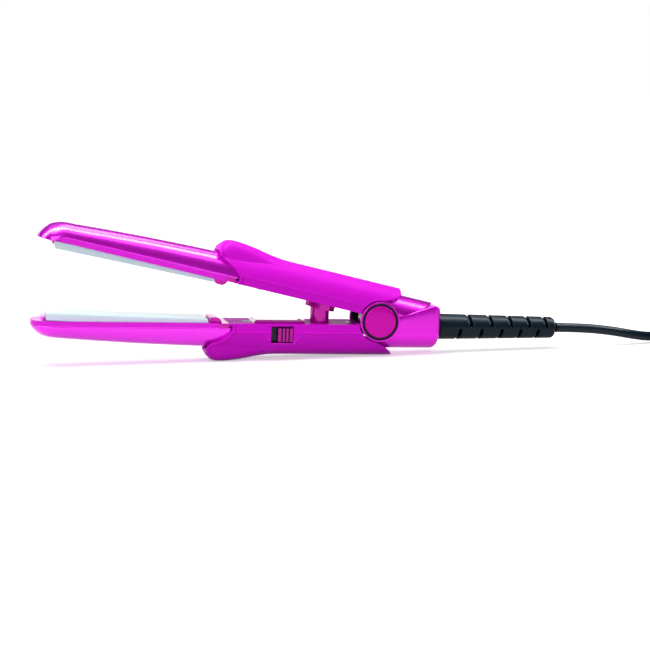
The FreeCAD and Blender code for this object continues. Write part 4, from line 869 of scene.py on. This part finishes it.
@dataclass
class HandleCover:
    """Handle cover with a flared front, a lipped edge and a crease along the flare's foot."""

    side: Side
    half_width: float = 13.5
    shoulder: float = 6.7
    corner: float = 9.0
    front: float = 96.8
    wall: float = 1.35
    bevel: float = 0.22
    bevel_angle: float = 60.0
    sharp_angle: float = 32.0
    lean: float = 0.09
    edge_line: float = 0.3
    lip: float = 0.75
    lip_end: Pair = (1.6, 1.86)
    lip_round: Pair = (0.35, 0.4)
    groove: Triple = (2.05, 0.3, 0.22)
    crease_places: Table = (-96.8, -89.0, -62.0)
    crease_depths: Table = (13.8, 14.3, 17.0)
    last_flank: float = 12.9
    last_column: float = 14.7
    dome_powers: Pair = (2.8, 0.42)
    dome_fade: Pair = (-86.0, -60.0)
    base_places: Table = (-99.2, -89.0, -60.0, 10.0)
    base_depths: Table = (17.8, 18.4, 20.1, 20.1)
    flare_places: Table = (0.0, 0.4, 1.2, 2.6, 4.6, 7.2, 10.2, 14, 19, 25, 31, 38, 44)
    flare_depths: Table = (17.2, 18.2, 20.1, 22.05, 23.41, 23.96, 24.0, 23.73, 23.14,
                                       22.13, 21.04, 20.25, 20.1)
    edge_depths: Table = (2.0, 5.4, 7.0, 9.0, 10.8, 12.2, 13.6, 14.8, 16.4, 17.8)
    edge_places: Table = (-83.2, -83.2, -84.1, -86.0, -88.9, -91.4, -94.4, -96.3, -96.7,
                                      -96.8)
    eye: float = 11.9
    eye_end: float = 11.7
    lower_heel: Profile = (
        (11.7, -2.17), (14.1, 2.3), (16.5, 5.6), (19.3, 9.1), (20.1, 9.9))
    upper_heel: Profile = (
        (11.7, -2.17), (12.4, 1.2), (14.0, 5.2), (15.9, 8.4), (17.4, 9.5), (20.1, 9.6))
    floor_depth: float = 20.04
    floor_slope: float = 0.04105
    floor_gap: float = 0.01
    flank_places: Table = (2.0, 2.9, 6.7, 12.3, 12.9, 14.7)
    flank_columns: tuple[int, ...] = (3, 11, 16, 2, 6)
    crown_columns: int = 30
    lip_rows: Table = (0.0, 0.15, 0.4, 0.8, 1.2, 1.6, 1.75, 1.85, 1.95, 2.15, 2.5, 3.0)
    slope_steps: int = 80
    crown_slope_depth: float = 17.0
    front_rows: int = 36
    front_ease: float = 1.3
    square: tuple[float, float, float, float] = (-79.0, -68.0, -42.0, -14.0)
    square_rows: tuple[int, ...] = (14, 17, 30, 17, 16)
    heel_rows: int = 26
    heel_guess: float = 5.0
    edge_rounds: int = 4
    switch: Switch = field(default_factory=Switch)

    def section(self, x: Array, depth: Array, share: Array) -> tuple[Array, Array]:
        """Half width and depth of the outer skin.

        A flank column runs at one depth, and its width is the arch's, less the inner band's lean,
        plus a fine ridge where the band ends; the last few columns close up on the crease.  A crown
        column runs at a share of the crease's width.  Its depth is the crease's plus the crown's
        height times a shape, which fades from a dome with upright walls, (1 - share to the first
        dome power) to the second, at the flare into the arch's own shape behind it.

        Args:
            x: place along the arm.
            depth: the depth of a flank column.
            share: the width share of a crown column, above 1 on a flank column.

        Returns:
            The distance from the middle plane and the depth.
        """
        base = Arch(self.half_width, self.shoulder,
                    smooth_table(x, self.base_places, self.base_depths), self.corner)
        crease = smooth_table(x, self.crease_places, self.crease_depths)
        reach = (depth - self.last_flank) / (self.last_column - self.last_flank)
        flank = np.where(depth > self.last_flank,
                         self.last_flank + (crease - self.last_flank) * reach, depth)
        crown = smooth_table(x + self.front, self.flare_places, self.flare_depths)
        dome = 1 - soft_step(x, *self.dome_fade)
        inner = np.minimum(share, 1.0)
        across = np.where(share > 1, base.width_at(flank), inner * base.width_at(crease))
        arched = (base.depth_at(across) - crease) / (base.depth - crease)
        walled = (1 - inner ** self.dome_powers[0]) ** self.dome_powers[1]
        top = crease + (crown - crease) * (arched * (1 - dome) + walled * dome)
        down = np.where(share > 1, flank, top)
        inwards = self.lean * np.maximum(self.shoulder - down, 0)
        line = ridge(down - self.shoulder, self.edge_line)
        across = across - np.where(share > 1, inwards - line, 0)
        if not self.side.turned:
            down = np.minimum(down, self.floor_depth - x * self.floor_slope - self.floor_gap)
        return across, down

    def edges(self, depth: Array, share: Array) -> tuple[Array, Array]:
        """Where each column starts and ends, found in a few rounds from the depth that it has there.

        The front edge follows its table.  The heel follows the circle round the pivot, then its
        own table.

        Args:
            depth: the columns' depths.
            share: the columns' width shares.

        Returns:
            Places of the front edge and of the heel.
        """
        front = np.full(depth.shape, -self.front)
        heel = np.full(depth.shape, self.heel_guess)
        places, reaches = zip(*(self.upper_heel if self.side.turned else self.lower_heel))
        for _ in range(self.edge_rounds):
            _, at_front = self.section(front, depth, share)
            _, at_heel = self.section(heel, depth, share)
            front = smooth_table(at_front, self.edge_depths, self.edge_places)
            eye = -np.sqrt(np.clip(self.eye ** 2 - at_heel ** 2, 0, None))
            heel = np.where(at_heel < self.eye_end, eye, np.interp(at_heel, places, reaches))
        return front, heel

    def columns(self) -> tuple[Array, Array, Array]:
        """Lays out the columns from the near rim to the far one.

        Returns:
            Each column's depth, its width share, which is 2 on the flanks, and its side.
        """
        flank = np.append(self.flank_places[0], stretches(self.flank_places, self.flank_columns))
        crown = np.cos(np.linspace(0, math.pi / 2, self.crown_columns))[1:]
        depth = np.concatenate([flank, np.full(len(crown), self.last_column)])
        share = np.concatenate([np.full(len(flank), 2.0), crown])
        sign = np.full(len(depth), -1.0)
        return (np.concatenate([depth, depth[-2::-1]]), np.concatenate([share, share[-2::-1]]),
                np.concatenate([sign, -sign[-2::-1]]))

    def rows(self, depth: Array, share: Array) -> Array:
        """Lays out the rows: they follow the front edge, then stand square, then follow the heel.

        A row of the lip lies at one distance from the edge, which along the arm is that distance
        times the root of (1 + the edge's slope squared).

        Args:
            depth: the columns' depths.
            share: the columns' width shares.

        Returns:
            Places along the arm, one row of them for each row of points.
        """
        front, heel = self.edges(depth, share)
        table = np.linspace(self.edge_depths[0], self.edge_depths[-1], self.slope_steps)
        slopes = np.gradient(smooth_table(table, self.edge_depths, self.edge_places), table)
        slope = np.interp(np.where(share > 1, depth, self.crown_slope_depth), table, slopes)
        near = front + np.array(self.lip_rows)[:, None] * np.sqrt(1 + slope ** 2)
        first, last = self.square[0], self.square[-1]
        ease = np.linspace(0, 1, self.front_rows)[1:, None] ** self.front_ease
        square = stretches((*self.square[:2], *self.switch.window[:2], *self.square[2:]),
                           self.square_rows)
        return np.concatenate([near, near[-1] + (first - near[-1]) * ease,
                               np.repeat(square[:, None], len(depth), axis=1),
                               last + (heel - last) * np.linspace(0, 1, self.heel_rows)[1:, None]])

    def swell(self, count: int) -> Array:
        """How far a row stands out of the skin: the lip, less its rounded front, less a groove.

        Args:
            count: the number of rows.

        Returns:
            A column with one distance for each row.
        """
        away = np.concatenate([self.lip_rows, np.full(count - len(self.lip_rows), np.inf)])[:, None]
        cut, length = self.lip_round
        place, deep, wide = self.groove
        return (self.lip * (1 - soft_step(away, *self.lip_end))
                - cut * (1 - soft_step(away, 0.0, length)) - ridge(away - place, deep, wide))

    def build(self, wardrobe: Wardrobe) -> None:
        """Builds the cover, the lower one with the switch's pad and window.

        Args:
            wardrobe: dresses the piece.
        """
        depth, share, sign = self.columns()
        x = self.rows(depth, share)
        across, down = self.section(x, depth, share)
        keep = None
        if not self.side.turned:
            near = sign < 0
            flank = near & (share > 1) & (down >= self.shoulder)
            across = np.where(flank, self.switch.pad(x, down, across, self.half_width), across)
            keep = ~self.switch.hole(x, down, near)
        points = np.stack([x, across * sign, -down], axis=-1)
        outward = grid_normals(points) * [0.0, 1.0, 1.0]
        points = points + outward * self.swell(len(x))[..., None]
        placed = ArmFrame(self.side).place(points[..., 0], points[..., 1], -points[..., 2])
        piece = Sheet(f"{self.side.prefix}_handle_cover", placed, flip=True, keep=keep,
                      sharp_angle=self.sharp_angle).build()
        add_wall(piece, self.wall)
        add_bevel(piece, self.bevel, self.bevel_angle)
        wardrobe.add(piece, HANDLE, self.side.body, f"{self.side.prefix}_handle")


# hinge end


@dataclass
class RearHousing:
    """Housing behind the pivot: flat sloping top, straight sides, arched bottom and a rounded end."""

    start: float = 0.2
    end: float = 37.2
    half_width: float = 11.9
    shoulder: float = 6.3
    depth: float = 16.2
    corner: float = 7.0
    top_corner: float = 0.8
    top_start: float = -1.42
    top_slope: float = 0.3327
    top_most: float = 9.0
    middle: float = 3.2
    rounding: float = 5.6
    rounding_power: float = 2.8
    long_rows: int = 48
    end_rows: int = 22
    fillet_points: int = 5
    side_points: int = 8
    arch_points: int = 33
    top_points: int = 15

    def sections(self, top: Array) -> tuple[Array, Array]:
        """Closed sections, down one side, round the arch, up the other side and across the top.

        Args:
            top: each section's depth at its flat top.

        Returns:
            The places across, which all sections share, and each section's depths.
        """
        arch = Arch(self.half_width, self.shoulder, self.depth, self.corner)
        fillet = np.linspace(0, math.pi / 2, self.fillet_points)
        side = np.linspace(0, self.shoulder, self.side_points + 1)[1:]
        belly = self.half_width * np.cos(np.linspace(0, math.pi / 2, self.arch_points + 1)[1:])
        lid = np.linspace(1, -1, self.top_points + 2)[1:-1] * (self.half_width - self.top_corner)
        half = np.concatenate([self.half_width - self.top_corner * (1 - np.sin(fillet)),
                               np.full(len(side), self.half_width), belly])
        down = np.concatenate([side, arch.depth_at(belly)])
        deep = np.concatenate([top[:, None] + self.top_corner * (1 - np.cos(fillet)),
                               np.tile(down, (len(top), 1))], axis=1)
        return (np.concatenate([-half, half[-2::-1], lid]),
                np.concatenate([deep, deep[:, -2::-1], np.tile(top[:, None], len(lid))], axis=1))

    def build(self, wardrobe: Wardrobe) -> None:
        """Builds the shell: closed sections that close in on their middle at the end.

        Over the rounding a section is scaled about its middle by (1 - s to a power) to the power
        of 1 over it, where s runs from 0 to 1 at the end.  The first section is a point, which
        closes the front.

        Args:
            wardrobe: dresses the piece.
        """
        turn = self.end - self.rounding
        close = 1 - np.linspace(1, 0, self.end_rows)[1:] ** 2
        x = np.concatenate([[self.start], np.linspace(self.start, turn, self.long_rows),
                            turn + self.rounding * close])
        share = np.clip((x - self.end + self.rounding) / self.rounding, 0, 1)
        scale = ((1 - share ** self.rounding_power) ** (1 / self.rounding_power))[:, None]
        scale[0] = 0
        across, deep = self.sections(-np.minimum(self.top_start + self.top_slope * x, self.top_most))
        points = ArmFrame(Side.LOWER).place(x[:, None], across * scale,
                                            self.middle + (deep - self.middle) * scale)
        piece = Sheet("rear_housing_shell", points, wrap=True, closed=True, sharp_angle=35.0).build()
        wardrobe.add(piece, TAIL, "lower_arm", "rear_housing_near", "rear_housing_far")


@dataclass
class PivotCap:
    """Round cap on one end of the hinge pin: a rim, a near-black ring sunk in it that paints the shade
    of the groove round the disc, and a plain disc.
    """

    near: bool
    rim: Profile = (
        (10.35, 12.6), (10.35, 14.15), (10.42, 14.3), (10.55, 14.38), (10.8, 14.38), (11.0, 14.28),
        (11.08, 14.1), (11.08, 12.15), (10.35, 12.15), (10.35, 12.6))
    ring: Profile = (
        (0.0, 13.3), (8.6, 13.3), (8.75, 13.7), (10.3, 13.7), (10.36, 13.5), (10.36, 12.2),
        (0.0, 12.2))
    disc: Profile = (
        (0.0, 15.1), (3.0, 15.08), (6.0, 14.98), (7.8, 14.86), (8.4, 14.74), (8.7, 14.5), (8.8, 14.2),
        (8.8, 13.35), (0.0, 13.35))
    steps: int = 96

    def lathe(self, name: str, profile: Sequence[Pair]) -> Object:
        """Turns a profile about the pivot axis.

        Args:
            name: the piece's name.
            profile: radius and distance across of each point.

        Returns:
            The piece.
        """
        line = np.array(profile)
        angle = np.linspace(0, 2 * math.pi, self.steps, endpoint=False)
        side = -1.0 if self.near else 1.0
        points = ArmFrame(Side.LOWER).place(line[:, :1] * np.cos(angle), line[:, 1:] * side,
                                            line[:, :1] * np.sin(angle))
        return Sheet(name, points, wrap=True, closed=True, sharp_angle=30.0).build()

    def build(self, wardrobe: Wardrobe) -> None:
        """Builds the rim, the ring and the disc.

        Args:
            wardrobe: dresses the pieces.
        """
        word = "near" if self.near else "far"
        wardrobe.add(self.lathe(f"cap_rim_{word}", self.rim), TAIL, "lower_arm")
        # the near-black ring paints the shade in the groove round the disc
        wardrobe.add(self.lathe(f"cap_ring_{word}", self.ring), PAINTED_GROOVE_SHADE, "lower_arm",
                     f"pivot_cap_{word}")
        wardrobe.add(self.lathe(f"cap_disc_{word}", self.disc), CAP, "lower_arm",
                     f"pivot_badge_{word}")


# strain relief


@dataclass
class CordRelief:
    """Slotted strain relief: a tapered tube with half slots from above and below in turn."""

    start: float = 37.1
    end: float = 107.0
    start_radius: float = 7.3
    end_radius: float = 6.05
    axis: float = 3.95
    rounding: float = 2.8
    bore: float = 2.85
    cord_start: float = 108.4
    first_slot: float = 46.7
    slot_width: float = 2.1
    slot_pitch: float = 6.5
    pitch_ratio: float = 0.94
    slots: int = 10
    slant: float = 1.4
    slant_fade: float = 6.0
    spine: float = 4.0
    wall: float = 1.7
    core_lap: float = 0.25
    core_short: int = 7
    front_rows: int = 13
    slot_rows: int = 4
    back_rows: int = 3
    end_rows: int = 11
    spine_columns: int = 2
    half_columns: int = 48

    def radius(self, x: Array) -> Array:
        """The tube's taper, with a quarter circle at its end.

        Args:
            x: place along the arm.

        Returns:
            The radius.
        """
        taper = self.start_radius + (self.end_radius - self.start_radius) * (
            (x - self.start) / (self.end - self.start))
        back = np.clip((x - self.end + self.rounding) / self.rounding, 0, 1)
        return taper - self.rounding * (1 - np.sqrt(1 - back ** 2))

    def place(self, x: Array, radius: Array, angle: Array, slant: float) -> Array:
        """Points of the tube; a section leads by the slant where it faces across the iron.

        Args:
            x: place along the arm.
            radius: distance from the tube's axis.
            angle: 0 to the near side, a quarter turn upwards.
            slant: the lead, which fades at both ends.

        Returns:
            Row-frame points.
        """
        lead = slant * np.abs(np.cos(angle)) * soft_step(x, self.start, self.first_slot) * (
            1 - soft_step(x, self.end - self.slant_fade, self.end))
        return ArmFrame(Side.LOWER).place(x + lead, -radius * np.cos(angle),
                                          self.axis - radius * np.sin(angle))

    def slot_edges(self) -> Array:
        """Places where the slots start and end, in turn; their pitch shrinks by a ratio."""
        pitch = self.slot_pitch * self.pitch_ratio ** (np.arange(self.slots - 1) / 2)
        slot = self.first_slot + np.concatenate([[0], np.cumsum(pitch)])
        return np.stack([slot, slot + self.slot_width], axis=-1).ravel()

    def skin_faces(self, x: Array, angle: Array, edges: Array) -> Array:
        """Chooses the faces between the slots, which are cut from below and from above in turn.

        Args:
            x: the rows' places.
            angle: the columns' angles.
            edges: where the slots start and end.

        Returns:
            A mask of the quads to keep.
        """
        number = np.searchsorted(edges, (x[:-1] + x[1:]) / 2)[:, None]
        middle = np.sin(angle + np.diff(np.append(angle, angle[0] + 2 * math.pi)) / 2)
        spine = math.sin(math.radians(self.spine))
        from_below = number // 2 % 2 == 0
        return ~((number % 2 == 1) & np.where(from_below, middle < -spine, middle > spine))

    def build(self, wardrobe: Wardrobe) -> None:
        """Builds the slotted skin, and the body that is seen in its slots: black rubber, made darker and
        duller than the skin to paint the shade in the slots.

        Args:
            wardrobe: dresses the pieces.
        """
        edges = self.slot_edges()
        straight = stretches([self.start, *edges, self.end - self.rounding],
                             [self.front_rows, *[self.slot_rows] * (len(edges) - 1), self.back_rows])
        turn = np.linspace(0, math.pi / 2, self.end_rows + 1)[1:]
        x = np.concatenate([[self.start], straight, self.end - self.rounding * (1 - np.sin(turn))])
        spine = math.radians(self.spine)
        half = np.append(-spine, stretches((-spine, spine, math.pi - spine),
                                           (self.spine_columns, self.half_columns)))[:-1]
        angle = np.concatenate([half, half + math.pi])
        grid_x, grid_angle = np.broadcast_arrays(x[:, None], angle)
        points = self.place(grid_x, self.radius(grid_x), grid_angle, self.slant)
        skin = Sheet("cord_relief_skin", points, wrap=True,
                     keep=self.skin_faces(x, angle, edges)).build()
        add_wall(skin, self.wall)
        wardrobe.add(skin, RELIEF, "cord_boot", "cord_relief")
        # the core paints the shade seen in the slots
        wardrobe.add(self.core(x[:-self.core_short], angle), SLOT_SHADE, "cord_boot")

    def core(self, x: Array, angle: Array) -> Object:
        """Builds the body inside the skin: it ends in a step down to the cord, and a short sleeve.

        Args:
            x: the rows' places.
            angle: the columns' angles.

        Returns:
            The body.
        """
        line = np.array([self.start, *x, x[-1], self.cord_start, self.cord_start])
        inside = self.radius(np.minimum(line, self.end)) - self.wall + self.core_lap
        inside[-3:-1] = self.bore
        inside[[0, -1]] = 0.0
        points = self.place(line[:, None], inside[:, None], angle, 0.0)
        return Sheet("cord_relief_core", points, wrap=True, closed=True).build()


# stage


@dataclass(frozen=True)
class Lamp:
    """A soft square lamp aimed at a point."""

    name: str
    place: Triple
    aim: Triple
    size: Pair
    power: float

    def build(self) -> None:
        """Adds the lamp, turned from its place towards its aim."""
        data = bpy.data.lights.new(self.name, "AREA")
        data.shape = "RECTANGLE"
        data.size, data.size_y = self.size
        data.energy = self.power
        lamp = bpy.data.objects.new(self.name, data)
        lamp.location = self.place
        way = Vector(self.aim) - Vector(self.place)
        lamp.rotation_euler = way.to_track_quat("-Z", "Y").to_euler()
        bpy.context.scene.collection.objects.link(lamp)


@dataclass(frozen=True)
class Studio:
    """Floor, lamps, world and camera."""

    azimuth: float = -13.0
    elevation: float = 8.0
    camera_place: Triple = (-0.211561, -0.974467, 0.157905)
    lens: float = 100.0
    sensor: float = 36.0
    lamps: tuple[Lamp, ...] = (
        Lamp("key", (-0.1, -0.35, 1.0), (0.0, 0.0, 0.02), (1.3, 0.3), 2.5),
        Lamp("strip", (-0.15, 0.08, 1.05), (-0.05, 0.0, 0.05), (1.6, 0.42), 10.5),
        Lamp("front", (-0.6, -1.3, 0.55), (0.0, 0.0, 0.03), (0.9, 0.5), 5.0),
    )
    even: float = 0.26
    tent_heights: Pair = (0.5, 0.9)
    tent_levels: Pair = (0.03, 0.5)
    band_height: float = 0.17
    band_edge: Pair = (0.07, 0.12)
    band_level: float = 1.6
    strip_lean: float = 0.02
    strip_edge: Pair = (0.12, 0.22)
    strip_level: float = 15.0
    strip_heights: Pair = (0.2, 0.5)
    floor_half: float = 12.0
    floor_top: float = -0.0001
    floor_tones: Pair = (0.5, 0.92)
    floor_mirrored: float = 0.8
    glow_reach: Pair = (0.25, 0.9)
    glow_levels: Pair = (0.45, 1.1)

    def build(self) -> None:
        """Adds everything that isn't the object."""
        self.add_camera()
        self.add_world()
        self.add_floor()
        for lamp in self.lamps:
            lamp.build()
        bpy.context.scene.view_settings.view_transform = "Standard"

    def add_camera(self) -> None:
        """Adds the camera: its axes follow from azimuth and elevation, with no roll."""
        a, e = math.radians(self.azimuth), math.radians(self.elevation)
        back = Vector((math.sin(a) * math.cos(e), -math.cos(a) * math.cos(e), math.sin(e)))
        right = Vector((math.cos(a), math.sin(a), 0.0))
        up = back.cross(right)
        data = bpy.data.cameras.new("camera")
        data.lens = self.lens
        data.sensor_width = self.sensor
        data.clip_start = 0.01
        data.clip_end = 50.0
        camera = bpy.data.objects.new("camera", data)
        axes = Matrix((right, up, back)).transposed().to_4x4()
        camera.matrix_world = Matrix.Translation(Vector(self.camera_place)) @ axes
        bpy.context.scene.collection.objects.link(camera)
        bpy.context.scene.camera = camera

    def add_world(self) -> None:
        """Lights the scene evenly.

        The camera sees white.  Reflections see a tent that is dark in front, with a band low
        behind the iron, which flat tops show, and a strip along it overhead.
        """
        world = bpy.data.worlds.new("studio")
        bpy.context.scene.world = world
        world.use_nodes = True
        world.node_tree.nodes.clear()
        build = NodeBuilder(world.node_tree)
        path = build.add("ShaderNodeLightPath").outputs
        seen = build.maths("MAXIMUM", path["Is Camera Ray"], path["Is Transmission Ray"])
        way = build.add("ShaderNodeTexCoord").outputs["Generated"]
        axes = build.add("ShaderNodeSeparateXYZ", {0: way}).outputs
        tent = build.ramp(axes["Z"], self.tent_heights, self.tent_levels)
        low = build.maths("ABSOLUTE", build.maths("SUBTRACT", axes["Z"], self.band_height))
        band = build.ramp(low, self.band_edge, (self.band_level, 0.0))
        behind = build.maths("MAXIMUM", axes["Y"], 0.0)
        tent = build.maths("ADD", tent, build.maths("MULTIPLY", band, behind))
        lean = build.maths("ADD", axes["Y"], build.maths("MULTIPLY", axes["Z"], self.strip_lean))
        strip = build.ramp(build.maths("ABSOLUTE", lean), self.strip_edge, (self.strip_level, 0.0))
        above = build.ramp(axes["Z"], self.strip_heights)
        tent = build.maths("ADD", tent, build.maths("MULTIPLY", strip, above))
        lit = build.add("ShaderNodeMixShader", {0: path["Is Glossy Ray"], 1: build.glow(self.even),
                                                2: build.glow(tent)})
        mixed = build.add("ShaderNodeMixShader", {0: seen, 1: lit.outputs[0], 2: build.glow(1.0)})
        build.add("ShaderNodeOutputWorld", {"Surface": mixed.outputs[0]})

    def add_floor(self) -> None:
        """Adds a wide white floor that still takes the object's shadow.

        What the camera or a reflection sees of it is lighter, and glows more the further away.
        """
        ends = np.array([-self.floor_half, self.floor_half])
        x, y, z = np.broadcast_arrays(ends[:, None], ends, self.floor_top)
        floor = Sheet("floor", np.stack([x, y, z], axis=-1)).build()
        material = bpy.data.materials.new("floor_paper")
        material.use_nodes = True
        material.node_tree.nodes.clear()
        build = NodeBuilder(material.node_tree)
        path = build.add("ShaderNodeLightPath").outputs
        glossy = build.maths("MULTIPLY", path["Is Glossy Ray"], self.floor_mirrored)
        seen = build.maths("MAXIMUM", path["Is Camera Ray"], glossy)
        tone = build.mix(seen, *(grey(level) for level in self.floor_tones))
        paper = build.add("ShaderNodeBsdfDiffuse", {"Color": tone})
        place = build.add("ShaderNodeTexCoord").outputs["Object"]
        away = build.add("ShaderNodeVectorMath", {0: place}, operation="LENGTH").outputs["Value"]
        lift = build.maths("MULTIPLY", seen, build.ramp(away, self.glow_reach, self.glow_levels))
        glow = build.add("ShaderNodeEmission", {"Color": grey(1.0), "Strength": lift})
        both = build.add("ShaderNodeAddShader", {0: paper.outputs[0], 1: glow.outputs[0]})
        build.add("ShaderNodeOutputMaterial", {"Surface": both.outputs[0]})
        floor.data.materials.append(material)


# mains cord


@dataclass
class MainsCord:
    """The cord from its relief to the plug, with the put-away length in a tied hank."""

    diameter: float = 5.4
    exit: Triple = (149.72, 0.0, 11.64)
    route: tuple[Triple, ...] = (
        (0.0, 0.0, 0.0), (16.0, 0.0, -0.7), (34.0, 0.8, -3.0), (50.0, 3.2, -6.4))
    centre: Pair = (253.52, -10.5)
    floor: float = 3.4
    pitch: float = 5.7
    inner: float = 16.5
    half_run: float = 21.0
    levels: int = 5
    fold_points: int = 9
    climb: float = 0.75
    way_in: float = 16.2
    stub: float = 5.45
    plug_side: float = 6.6
    plug_axis: float = 7.0
    lead_ends: Triple = (10.0, 24.5, 34.5)
    length: float = 1.8

    def height(self, level: Array) -> Array:
        """Height of the cord's middle on a level of the hank."""
        return self.floor + self.pitch * (level - 1)

    def fold(self, end: int, radius: float, low: int, high: int) -> Array:
        """A half turn round one end of the hank.

        Args:
            end: 1 for the far end, -1 for the end near the iron.
            radius: the lane's radius.
            low: level at its start.
            high: level at its end, reached along a cosine after the climb's share of the turn.

        Returns:
            Control points, in millimetres from the hank's middle.
        """
        share = (np.arange(self.fold_points) + 0.5) / self.fold_points
        part = np.minimum(share / self.climb, 1.0)
        angle = math.radians(90 * end) - math.pi * share
        up = self.height(low + (high - low) * (0.5 - 0.5 * np.cos(math.pi * part)))
        wide = radius / math.cos(math.pi / 2 / self.fold_points)
        along = end * self.half_run + wide * np.cos(angle)
        return np.stack([along, wide * np.sin(angle), up], axis=-1)

    def run(self, side: int, start: tuple[float, int], end: tuple[float, int]) -> Array:
        """A straight run of the hank, with two control points at each end.

        Args:
            side: 1 where the cord runs away from the iron, -1 where it runs back.
            start: lane radius and level at its start.
            end: lane radius and level at its end.

        Returns:
            Control points, in millimetres from the hank's middle.
        """
        along = side * self.half_run * np.array([-1.0, -0.5, 0.5, 1.0])
        across = side * np.array([start[0], start[0], end[0], end[0]])
        return np.stack([along, across, self.height(np.array([start[1], start[1], end[1], end[1]]))],
                        axis=-1)

    def hank(self) -> Array:
        """Winds the hank: up the inner lane, over, and down the outer lane.

        Returns:
            Control points, in millimetres.
        """
        inner, outer, top = self.inner, self.inner + self.pitch, self.levels
        rows = [self.run(1, (inner, 1), (inner, 1))]
        for level in range(1, top + 1):
            rows.append(self.fold(1, inner, level, level))
            if level < top:
                rows += [self.run(-1, (inner, level), (inner, level)),
                         self.fold(-1, inner, level, level + 1),
                         self.run(1, (inner, level + 1), (inner, level + 1))]
        along = self.half_run * np.array([1.0, 0.75, 0.25, -0.25, -0.75, -1.0])
        across = -np.array([inner, inner, outer, outer, outer, outer])
        up = self.height(np.array([top, top, top, top, top - 1, top - 1]))
        rows.append(np.stack([along, across, up], axis=-1))
        for level in range(top - 1, 0, -1):
            rows += [self.fold(-1, outer, level, level + 1),
                     self.run(1, (outer, level + 1), (outer, level))]
            if level > 1:
                rows += [self.fold(1, outer, level, level - 1),
                         self.run(-1, (outer, level - 1), (outer, level - 1))]
        return np.concatenate(rows) + np.array([*self.centre, 0.0])

    def points(self) -> Array:
        """Lays out the route: out of the relief, round the hank and on to the plug.

        Returns:
            Control points, in millimetres.
        """
        start = np.array(self.exit)
        hank = self.hank()
        come = hank[0] - np.array([self.stub + self.way_in, 0, 0])
        begin = hank[-1] + np.array([self.stub, 0, 0])
        shift = np.array([0, self.plug_side - begin[1], self.plug_axis - begin[2]])
        lead = begin + np.array([[0, 0, 0], shift, shift])
        lead[:, 0] += self.lead_ends
        return np.concatenate([start + np.array(self.route), [come], hank, lead])

    def build(self, wardrobe: Wardrobe) -> None:
        """Builds the cord as one smooth curve with a round section.

        Args:
            wardrobe: dresses the piece.
        """
        points = self.points() * MM
        data = bpy.data.curves.new("mains_cord", "CURVE")
        data.dimensions = "3D"
        data.bevel_depth = self.diameter / 2 * MM
        data.bevel_resolution = 5
        data.resolution_u = 4
        data.use_fill_caps = True
        spline = data.splines.new("NURBS")
        spline.points.add(len(points) - 1)
        weighted = np.concatenate([points, np.ones((len(points), 1))], axis=1)
        spline.points.foreach_set("co", weighted.ravel())
        spline.order_u = 3
        spline.use_endpoint_u = True
        cord = bpy.data.objects.new("mains_cord", data)
        bpy.context.scene.collection.objects.link(cord)
        wardrobe.add(cord, CORD, "lower_arm", "power_cord", "cord_coil", "plug_lead")


class HairIron:
    """The whole iron: its sub-assemblies and the CAD nodes that stay."""

    def __init__(self, frame: dict) -> None:
        """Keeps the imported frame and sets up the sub-assemblies.
        """
        self.nodes = frame["nodes"]
        self.wardrobe = Wardrobe()
        self.parts = [Barrel(Side.LOWER, nose_rim=4.6), Barrel(Side.UPPER, tip=193.6),
                      HandleCover(Side.LOWER), HandleCover(Side.UPPER), RearHousing(),
                      PivotCap(True), PivotCap(False), CordRelief(), MainsCord()]

    def dress_nodes(self) -> None:
        """Gives every CAD node its finish."""
        for name, node in self.nodes.items():
            plain = name.removeprefix("lower_").removeprefix("upper_")
            self.wardrobe.dress(node, NODE_FINISH[plain])

    def build(self) -> None:
        """Dresses the CAD nodes, then builds each sub-assembly."""
        self.dress_nodes()
        for part in self.parts:
            part.build(self.wardrobe)
            log.info("built %s", type(part).__name__)


def main() -> None:
    """Loads the frame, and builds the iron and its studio."""
    logging.basicConfig(level=logging.INFO, format="%(name)s: %(message)s")
    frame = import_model()
    HairIron(frame).build()
    Studio().build()


if __name__ == "__main__":
    main()
